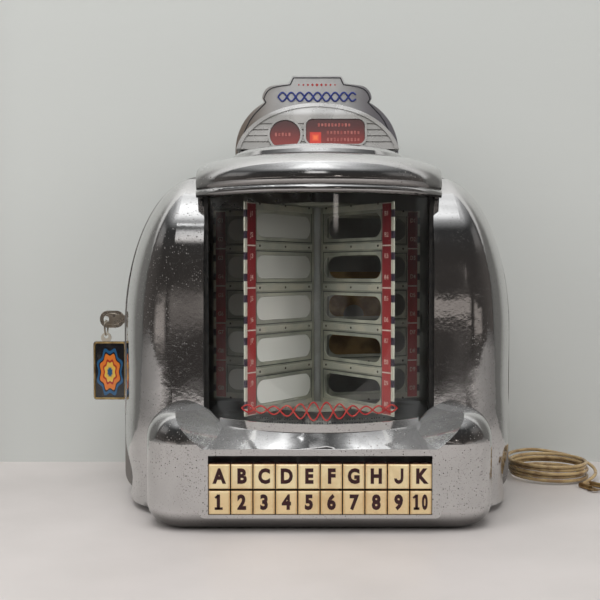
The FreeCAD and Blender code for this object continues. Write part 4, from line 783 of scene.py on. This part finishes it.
def words(mesh, text, size, thick, place, width=1.0, weight=0.0):
    """Add a short text, as solid letters, to a bmesh.  place is a matrix; sizes in millimetres."""
    curve = bpy.data.curves.new("words", "FONT")
    curve.body = text
    curve.size = size * MM
    curve.align_x = "CENTER"
    curve.align_y = "CENTER"
    curve.extrude = thick * MM / 2
    curve.offset = weight * MM
    curve.resolution_u = 3
    probe = bpy.data.objects.new("words", curve)
    flat = bpy.data.meshes.new_from_object(probe)
    flat.transform(place @ Matrix.Diagonal((width, 1.0, 1.0, 1.0)))
    mesh.from_mesh(flat)
    bpy.data.objects.remove(probe)
    bpy.data.meshes.remove(flat)


# %% [markdown]
# ## Key legends
#
# The legends are filled with dark maroon paint.  Each stands 0.05 mm proud of its key's face and
# rides on that key, so it sinks with it.  The built-in font, drawn narrower and a little heavier,
# comes close to the plain letters of such keys.  Its 1 has no foot and its J hangs below the
# line, so two helpers make those.

# %% Legend sizes and paint
ink = patchy("legend_ink", 0.0, 0.45, (500.0, 0.45, 0.8), (0.028, 0.004, 0.006), (0.06, 0.012, 0.012))
TO_FRONT = Matrix.Rotation(math.radians(90.0), 4, "X")
LEGEND_SIZE, LEGEND_WIDTH, LEGEND_WEIGHT = 13.2, 0.84, 0.68
LEGEND_DEEP = 0.1                       # half of it stands proud
FOOT_HIGH, STEM_HALF = 1.7, 0.95
FLAG_BACK, FLAG_DOWN, FLAG_LEAN, FLAG_LONG, FLAG_THICK = 1.3, 1.6, -38.0, 2.6, 1.5
HOOK_NARROW, HOOK_LEVEL = 0.82, 0.36    # the J's width beside other letters; where its hook ends
print("legends", LEGEND_SIZE, "mm")


# %% The 1 and the J
def legend(mesh, text, place, narrow=LEGEND_WIDTH):
    """Add one legend's letters to a bmesh."""
    words(mesh, text, LEGEND_SIZE, LEGEND_DEEP, place, narrow, LEGEND_WEIGHT)


def numeral_one(mesh, place, narrow, foot_wide):
    """The numeral 1 with a foot under its stem, added to a bmesh."""
    before = len(mesh.verts)
    legend(mesh, "1", place, narrow)
    mesh.verts.ensure_lookup_table()
    new = [vert.co for vert in mesh.verts[before:]]
    bottom, top = min(co.z for co in new), max(co.z for co in new)
    stem = max(co.x for co in new) - STEM_HALF * MM
    foot = Matrix.Translation((stem, FACE_Y, bottom + FOOT_HIGH / 2 * MM))
    block(mesh, foot, foot_wide, LEGEND_DEEP, FOOT_HIGH)
    flag = Matrix.Translation((stem - FLAG_BACK * MM, FACE_Y, top - FLAG_DOWN * MM))
    lean = Matrix.Rotation(math.radians(FLAG_LEAN), 4, "Y")
    block(mesh, flag @ lean, FLAG_LONG, LEGEND_DEEP, FLAG_THICK)


def hooked_letter(mesh, place):
    """The letter J that stands on the line: a U without the upper part of its left stem."""
    letter = bmesh.new()
    legend(letter, "U", place, LEGEND_WIDTH * HOOK_NARROW)
    across = [vert.co.x for vert in letter.verts]
    up = [vert.co.z for vert in letter.verts]
    level, middle = min(up) + HOOK_LEVEL * (max(up) - min(up)), (min(across) + max(across)) / 2
    everything = letter.verts[:] + letter.edges[:] + letter.faces[:]
    bmesh.ops.bisect_plane(letter, geom=everything, plane_co=(0, 0, level), plane_no=(0, 0, 1))
    stem = [vert for vert in letter.verts if vert.co.x < middle and vert.co.z > level + 0.01 * MM]
    bmesh.ops.delete(letter, geom=stem, context="VERTS")
    bmesh.ops.holes_fill(letter, edges=[edge for edge in letter.edges if edge.is_boundary])
    flat = bpy.data.meshes.new("letter")
    letter.to_mesh(flat)
    letter.free()
    mesh.from_mesh(flat)
    bpy.data.meshes.remove(flat)


# %% A legend for every key
def on_face(middle, aside=0.0):
    """Matrix that stands a legend on a key's face, moved sideways by some millimetres."""
    return Matrix.Translation(middle + Vector((aside * MM, 0, 0))) @ TO_FRONT


LONGEST_NAME = len("key_10")            # the ring, fob, guide and springs have longer names
names = [name for name in frame["nodes"] if name.startswith("key_") and len(name) <= LONGEST_NAME]
for name in names:
    mark = name[4:].upper()
    low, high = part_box(name)
    mesh = bmesh.new()
    middle = Vector(((low.x + high.x) / 2, FACE_Y, (low.z + high.z) / 2))
    if mark == "10":
        numeral_one(mesh, on_face(middle, -3.0), 0.7, 3.9)
        legend(mesh, "0", on_face(middle, 2.5), 0.55)
    elif mark == "1":
        numeral_one(mesh, on_face(middle, -0.6), LEGEND_WIDTH, 5.4)
    elif mark == "J":
        hooked_letter(mesh, on_face(middle))
    else:
        legend(mesh, mark, on_face(middle))
    piece_from(f"legend_{name[4:]}", mesh, name, ink)
print("legends:", len(names))

# %% [markdown]
# ## Codes and rivets on the leaves
#
# Each index strip carries a small code beside every title, and three rivets hold each divider bar.
# A leaf's face has its own frame: outwards normal, up, and the direction that reads from left to
# right.  One helper gives that frame as a matrix, and both loops place their copies with it.

# %% Face frames
LEAVES, FIRST_LEAF = 5, -54.0
LEAF_ANGLES = [math.radians(FIRST_LEAF + 360.0 / LEAVES * number) for number in range(LEAVES)]
STRIP_MIDDLE, STRIP_FACE, BAR_FACE = 81.75, 1.2, 1.4
LETTERS, TITLES = "ABCDEFGHJK", 10
CODE_SIZE, CODE_DEEP, CODE_WIDTH, CODE_WEIGHT = 4.6, 0.08, 0.9, 0.08
RIVET_PLACES, RIVET = (13.0, 43.0, 73.0), 0.95
FLATTEN = Matrix.Diagonal((1.0, 1.0, 0.5, 1.0))      # a rivet's head is half as high as a ball
UP = Vector((0.0, 0.0, 1.0))


def on_leaf(angle, side, radius, level, proud):
    """Matrix at a point of a leaf's face: X reads left to right, Y is up, Z points outwards."""
    along = Vector((math.cos(angle), math.sin(angle), 0.0))
    normal = Vector((math.sin(angle), -math.cos(angle), 0.0)) * side
    place = along * radius * MM + normal * proud * MM + Vector((0.0, 0.0, level * MM))
    return Matrix.Translation(place) @ Matrix((UP.cross(normal), UP, normal)).transposed().to_4x4()


# %% Codes and rivets
code_ink = patchy("code_ink", 0.0, 0.5, (700.0, 0.4, 0.7), (0.62, 0.46, 0.4), (0.4, 0.16, 0.14))
rivet_dark = patchy("rivet_dark", 0.7, 0.45, (400.0, 0.4, 0.6), (0.06, 0.055, 0.05), (0.16, 0.14, 0.12))
codes, rivets = bmesh.new(), bmesh.new()
for number, angle in enumerate(LEAF_ANGLES):
    for side in (-1, 1):
        letter = LETTERS[2 * number + (side > 0)]
        for title in range(TITLES):
            level = LEAF_MIDDLE + ((TITLES - 1) / 2 - title) * SLOT_PITCH / 2
            place = on_leaf(angle, side, STRIP_MIDDLE, level, STRIP_FACE)
            words(codes, f"{letter}{(title + 1) % 10}", CODE_SIZE, CODE_DEEP, place, CODE_WIDTH, CODE_WEIGHT)
        for row in range(SLOTS + 1):
            for radius in RIVET_PLACES:
                level = LEAF_MIDDLE + (row - SLOTS / 2) * SLOT_PITCH
                shape = on_leaf(angle, side, radius, level, BAR_FACE) @ FLATTEN
                bmesh.ops.create_uvsphere(rivets, u_segments=8, v_segments=4, radius=RIVET * MM, matrix=shape)
piece_from("index_codes", codes, "carousel", code_ink)
piece_from("bar_rivets", rivets, "carousel", rivet_dark, smooth=True)
print("codes and rivets placed")

# %% [markdown]
# ## Drawn ornaments
#
# The header plate, the pane, the key's bow and the fob carry line ornaments.  Each line is a thin
# NURBS tube, half sunk in what it lies on, and one helper draws them all.  Two waves that cross
# make the woven band; the pane's band is bent round the pane by its own radius.  Diamonds, dashes
# and dots are small blocks.


# %% Line helper and inks
def drawn_line(name, points, width, body, material, closed=False):
    """A thin tube through control points in millimetres, riding on a body."""
    piece = nurbs(name, points, width)
    piece.data.bevel_resolution = 1
    piece.data.resolution_u = 4
    if closed:
        piece.data.splines[0].use_endpoint_u = False
        piece.data.splines[0].use_cyclic_u = True
    piece.data.materials.append(material)
    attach(piece, body)


def woven_band(name, count, steps, point_at, width, material):
    """Two waves that cross.  point_at makes a point from a step and a swing between -1 and 1."""
    for number, phase in enumerate((0.0, math.pi), 1):
        wave = [point_at(step, math.sin(2 * math.pi * step / steps + phase)) for step in range(count)]
        drawn_line(f"{name}_{number}", wave, width, "cover", material)


INK_WEAR = (260.0, 0.4, 0.7)
blue_ink = patchy("blue_ink", 0.0, 0.35, INK_WEAR, (0.03, 0.045, 0.2), (0.05, 0.07, 0.26))
red_ink = patchy("red_ink", 0.0, 0.35, INK_WEAR, (0.42, 0.03, 0.03), (0.5, 0.08, 0.06))
edge_ink = patchy("edge_ink", 0.0, 0.35, INK_WEAR, (0.02, 0.02, 0.025), (0.06, 0.06, 0.06))
pale_red = patchy("pale_red_ink", 0.0, 0.4, (400.0, 0.4, 0.7), (0.42, 0.14, 0.12), (0.26, 0.05, 0.045))

# %% Header plate: edge line, woven band and a row of diamonds
HEADER_FACE = 20.2
RIGHT_EDGE = [                          # a point given twice makes a sharp corner
    (0.0, 330.6), (18.6, 330.6), (18.6, 330.6), (21.3, 325.1), (21.3, 325.1), (34.2, 323.4), (39.9, 320.2),
    (42.4, 314.0), (42.4, 314.0), (40.7, 311.1), (40.7, 311.1), (58.0, 293.4), (63.6, 268.0),
]
WAVE_START, WAVE_STEP, WAVE_POINTS, WAVE_LEVEL, WAVE_TALL, WAVE_STEPS = -31.0, 2.0, 32, 315.5, 3.8, 7.0
DIAMONDS_EACH_SIDE, DIAMOND_PITCH, DIAMOND_LEVEL = 4, 3.6, 325.0
DIAMOND_SIZE, DIAMOND_LOSS, DIAMOND_SIDE = 2.6, 0.25, 0.7        # size, loss at each step, side per size


def header_point(step, swing):
    """A point of the header's band, in millimetres."""
    return (WAVE_START + WAVE_STEP * step, HEADER_FACE, WAVE_LEVEL + WAVE_TALL * swing)


right = [(x, HEADER_FACE, z) for x, z in RIGHT_EDGE]
left = [(-x, y, z) for x, y, z in reversed(right)]
drawn_line("header_edge", left + right[1:], 0.9, "cover", edge_ink)
woven_band("header_wave", WAVE_POINTS, WAVE_STEPS, header_point, 1.5, blue_ink)
diamonds = bmesh.new()
on_corner = Matrix.Rotation(math.radians(45.0), 4, "Y")
for step in range(-DIAMONDS_EACH_SIDE, DIAMONDS_EACH_SIDE + 1):
    side = (DIAMOND_SIZE - DIAMOND_LOSS * abs(step)) * DIAMOND_SIDE
    place = Matrix.Translation((step * DIAMOND_PITCH * MM, HEADER_FACE * MM, DIAMOND_LEVEL * MM))
    block(diamonds, place @ on_corner, side, 0.2, side)
piece_from("header_diamonds", diamonds, "cover", red_ink)
print("header ornament drawn")

# %% Sign lenses: rows of dashes
LENS_LEAN = math.radians(12.0)
DASH_PITCH, DASH_WIDE, DASH_HEIGHTS = 2.6, 1.5, (2.8, 2.2, 2.8, 2.5)
DASH_ROWS = (                # lens, then level, start and length of each row
    ("instruction_lens", ((289.0, 0.0, 27.0), (283.0, 7.0, 27.0), (277.5, 7.0, 27.0))),
    ("coin_lens", ((281.5, -33.0, 15.0),)),
)
dashes = bmesh.new()
leaning = Matrix.Rotation(-LENS_LEAN, 4, "X")
for node, rows in DASH_ROWS:
    low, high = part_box(node)
    for level, start, length in rows:
        face = low.y / MM + (level - low.z / MM) * math.tan(LENS_LEAN)
        for step in range(int(length / DASH_PITCH)):
            tall = DASH_HEIGHTS[step % len(DASH_HEIGHTS)]
            place = Matrix.Translation(Vector((start + DASH_PITCH * step + 1.0, face, level)) * MM)
            block(dashes, place @ leaning, DASH_WIDE, 0.3, tall)
piece_from("lens_dashes", dashes, "cover", pale_red)
print("lens rows drawn")

# %% Pane: woven band and a row of dots
PANE_FACE = 97.1
BAND_HALF, BAND_STEP, BAND_LEVEL, BAND_STEPS = 54.0, 2.0, 81.5, 9.0
BAND_TALL, BAND_SWELL, SWELL_WIDE = 2.6, 4.2, 20.0       # the band is taller in the middle
DOT_LEVELS, DOTS_EACH_SIDE, DOT_PITCH = (75.8, 73.6), 26, 1.7


def on_pane(x, level):
    """A point on the outside of the pane, in millimetres."""
    return (x, -math.sqrt(PANE_FACE ** 2 - x ** 2), level)


def pane_point(step, swing):
    """A point of the pane's band, in millimetres."""
    x = -BAND_HALF + BAND_STEP * step
    tall = BAND_TALL + BAND_SWELL * math.exp(-(x / SWELL_WIDE) ** 2)
    return on_pane(x, BAND_LEVEL + tall * swing)


BAND_POINTS = int(2 * BAND_HALF / BAND_STEP) + 1
woven_band("pane_wave", BAND_POINTS, BAND_STEPS, pane_point, 1.15, red_ink)
dots = bmesh.new()
for row, level in enumerate(DOT_LEVELS):
    reach = DOTS_EACH_SIDE - 3 * row
    for step in range(-reach, reach + 1):
        if (step * 7 + row) % 5:        # every fifth place stays empty
            block(dots, Matrix.Translation(Vector(on_pane(step * DOT_PITCH, level)) * MM), 0.9, 0.3, 0.8)
piece_from("pane_dots", dots, "cover", edge_ink)
print("pane ornament drawn")

# %% Bow and fob
FOB_FACE, FOB_CENTRE, FOB_HALF = 35.9, (-170.0, 94.75), (13.5, 24.0)
RIM_INSET, CORNER_REACH = 1.0, 4.0
BOW_CENTRE, BOW_FACE, BOW_HALF, BOW_POINTS = (-168.0, 137.0), 36.0, (7.4, 4.8), 16
gilt = patchy("gilt", 1.0, 0.28, (200.0, 0.4, 0.65), (0.66, 0.48, 0.22), (0.4, 0.27, 0.12))
corners = []
for across, up in ((1, 1), (-1, 1), (-1, -1), (1, -1)):
    x = FOB_CENTRE[0] + across * (FOB_HALF[0] - RIM_INSET)
    z = FOB_CENTRE[1] + up * (FOB_HALF[1] - RIM_INSET)
    first, second = (x, z - up * CORNER_REACH), (x - across * CORNER_REACH, z)
    bend = (first, (x, z), second) if across * up > 0 else (second, (x, z), first)
    corners += [(px, FOB_FACE, pz) for px, pz in bend]
drawn_line("fob_rim", corners, 1.7, "fob", gilt, closed=True)
oval = []
for step in range(BOW_POINTS):
    angle = step * math.pi / (BOW_POINTS / 2)
    x, z = BOW_CENTRE[0] + BOW_HALF[0] * math.cos(angle), BOW_CENTRE[1] + BOW_HALF[1] * math.sin(angle)
    oval.append((x, BOW_FACE, z))
drawn_line("bow_oval", oval, 0.7, "lock_plug", nickel, closed=True)
print("bow and fob finished")

# %% [markdown]
# ## Floor, wall and light
#
# The selector stands on a pale table before a pale wall.  A mirror finish shows whatever stands
# round it, so the room matters as much as the lamps: a dark room in front with a few bright
# windows, a light ceiling, and a table that ends under the camera.  Table and wall are painted
# darker away from the selector, a painted shade where the light falls off, because its rolled
# sides mirror them there.  The wall can't be seen from behind, so that views of the back look
# through it.


# %% Stage helpers
TABLE_FRONT, WALL_Y, WALL_HIGH, REACH = -0.7, 0.126, 1.6, 2.4      # metres


def panel(name, near, far, material):
    """A flat stage piece that reaches to both sides, from the Y and Z of two of its edges."""
    mesh = bmesh.new()
    corners = ((-REACH, *near), (REACH, *near), (REACH, *far), (-REACH, *far))
    mesh.faces.new([mesh.verts.new(corner) for corner in corners])
    piece = object_from(name, mesh, material)


def aside_mask(material, near, far):
    """Mask that grows with the distance to the left or right of the selector, in metres."""
    return ramp(math_node("ABSOLUTE", axes(material.node_tree)["X"]), near, far)


# %% Table and wall
table_top = finish("table_top", (0.6, 0.57, 0.55), 0.0, 0.4)
pale = colour_mix(table_top, patches(table_top, 9.0, 0.3, 0.7), (0.6, 0.56, 0.54), (0.54, 0.505, 0.485), None)
# Painted shade: the table is painted darker away from the selector, where light falls off.
colour_mix(table_top, aside_mask(table_top, 0.4, 0.9), pale, (0.3, 0.285, 0.275))

wall_paint = finish("wall_paint", (0.6, 0.615, 0.59), 0.0, 0.85)
bump(wall_paint, noise(wall_paint.node_tree, 60.0, 3.0, (0.15, 1.0, 1.0)), 0.25, 0.6)
# Painted shade: the wall is painted darker away from the selector, where light falls off; it is also lighter
# higher up.
painted_falloff = aside_mask(wall_paint, 0.26, 0.46)
painted = colour_mix(wall_paint, painted_falloff, (0.62, 0.635, 0.61), (0.22, 0.22, 0.21), None)
colour_mix(wall_paint, height_mask(wall_paint, 400.0, 700.0), painted, (0.78, 0.78, 0.77))
clear_where(wall_paint, "ShaderNodeNewGeometry", "Backfacing")
panel("table", (TABLE_FRONT, 0), (REACH, 0), table_top)
panel("wall", (WALL_Y, 0), (WALL_Y, WALL_HIGH), wall_paint)
print("table and wall in place")

# %% The room, as the world
WINDOWS = [                 # bearing and height in degrees, half sizes, strength
    (-43.0, -2.8, 16.0, 1.6, 0.46), (-10.0, -2.1, 9.0, 0.8, 0.34), (15.0, -2.1, 10.0, 0.8, 0.36),
    (46.0, -2.4, 12.0, 1.1, 0.3), (15.0, 4.0, 2.2, 1.2, 2.6), (-10.0, 45.0, 3.0, 1.4, 1.6),
    (-2.0, 31.0, 9.0, 7.0, 1.0), (-5.0, 67.0, 30.0, 13.0, 0.9), (-76.0, 28.0, 14.0, 9.0, 0.18),
    (74.0, 26.0, 14.0, 9.0, 0.1),
]
ROOM_DARK, ROOM_SIDE, ROOM_BEHIND, CEILING = 0.045, 0.11, 0.5, 0.66
UPLIT = 1.4                 # the brightest part, straight overhead

world = bpy.data.worlds.new("room")
bpy.context.scene.world = world
world.use_nodes = True
tree = world.node_tree
at = axes(tree, "Generated")
bearing = math_node("DEGREES", math_node("ARCTAN2", at["X"], times(at["Y"], -1.0)))
height = math_node("DEGREES", math_node("ARCSINE", at["Z"]))
turned = math_node("ABSOLUTE", bearing)
side = ramp(turned, 40.0, 110.0, ROOM_DARK, ROOM_SIDE)
side = plus(side, ramp(turned, 105.0, 160.0, 0.0, ROOM_BEHIND))
ceiling = times(ramp(height, 36.0, 60.0, 0.0, CEILING), ramp(turned, 35.0, 85.0, 1.0, 0.4))
overhead = ramp(height, 60.0, 85.0, 0.0, UPLIT - CEILING)
light = plus(side, plus(ceiling, overhead))
for middle, level, half_wide, half_high, strength in WINDOWS:
    shape = times(ramp(away(bearing, middle), half_wide * 1.3, half_wide * 0.55),
                  ramp(away(height, level), half_high * 1.4, half_high * 0.45))
    light = plus(light, times(shape, strength))
warmth = tree.nodes.new("ShaderNodeMix")
warmth.data_type = "RGBA"
tree.links.new(ramp(height, 0.0, 45.0), warmth.inputs["Factor"])
warmth.inputs[6].default_value = (1.0, 0.9, 0.84, 1.0)
warmth.inputs[7].default_value = (0.99, 1.0, 1.01, 1.0)
background = tree.nodes["Background"]
tree.links.new(warmth.outputs[2], background.inputs["Color"])
tree.links.new(light, background.inputs["Strength"])
print("room with", len(WINDOWS), "windows")

# %% Lamps
AIM = Vector((0, 0, 0.15))
LAMPS = [                    # name, place, size, power
    ("ceiling_panel", (-0.2, -0.6, 1.45), 1.4, 15.0),
    ("left_panel", (-1.3, -1.0, 0.8), 0.9, 9.0),
    ("right_panel", (1.4, -0.8, 0.8), 0.9, 8.0),
]
for name, place, size, power in LAMPS:
    lamp = bpy.data.lights.new(name, "AREA")
    lamp.size = size
    lamp.energy = power
    holder = bpy.data.objects.new(name, lamp)
    holder.location = place
    holder.rotation_euler = (AIM - Vector(place)).to_track_quat("-Z", "Y").to_euler()
    holder.visible_glossy = False       # the plating mirrors the room, not the lamps
    bpy.context.collection.objects.link(holder)
print("lamps:", len(LAMPS))
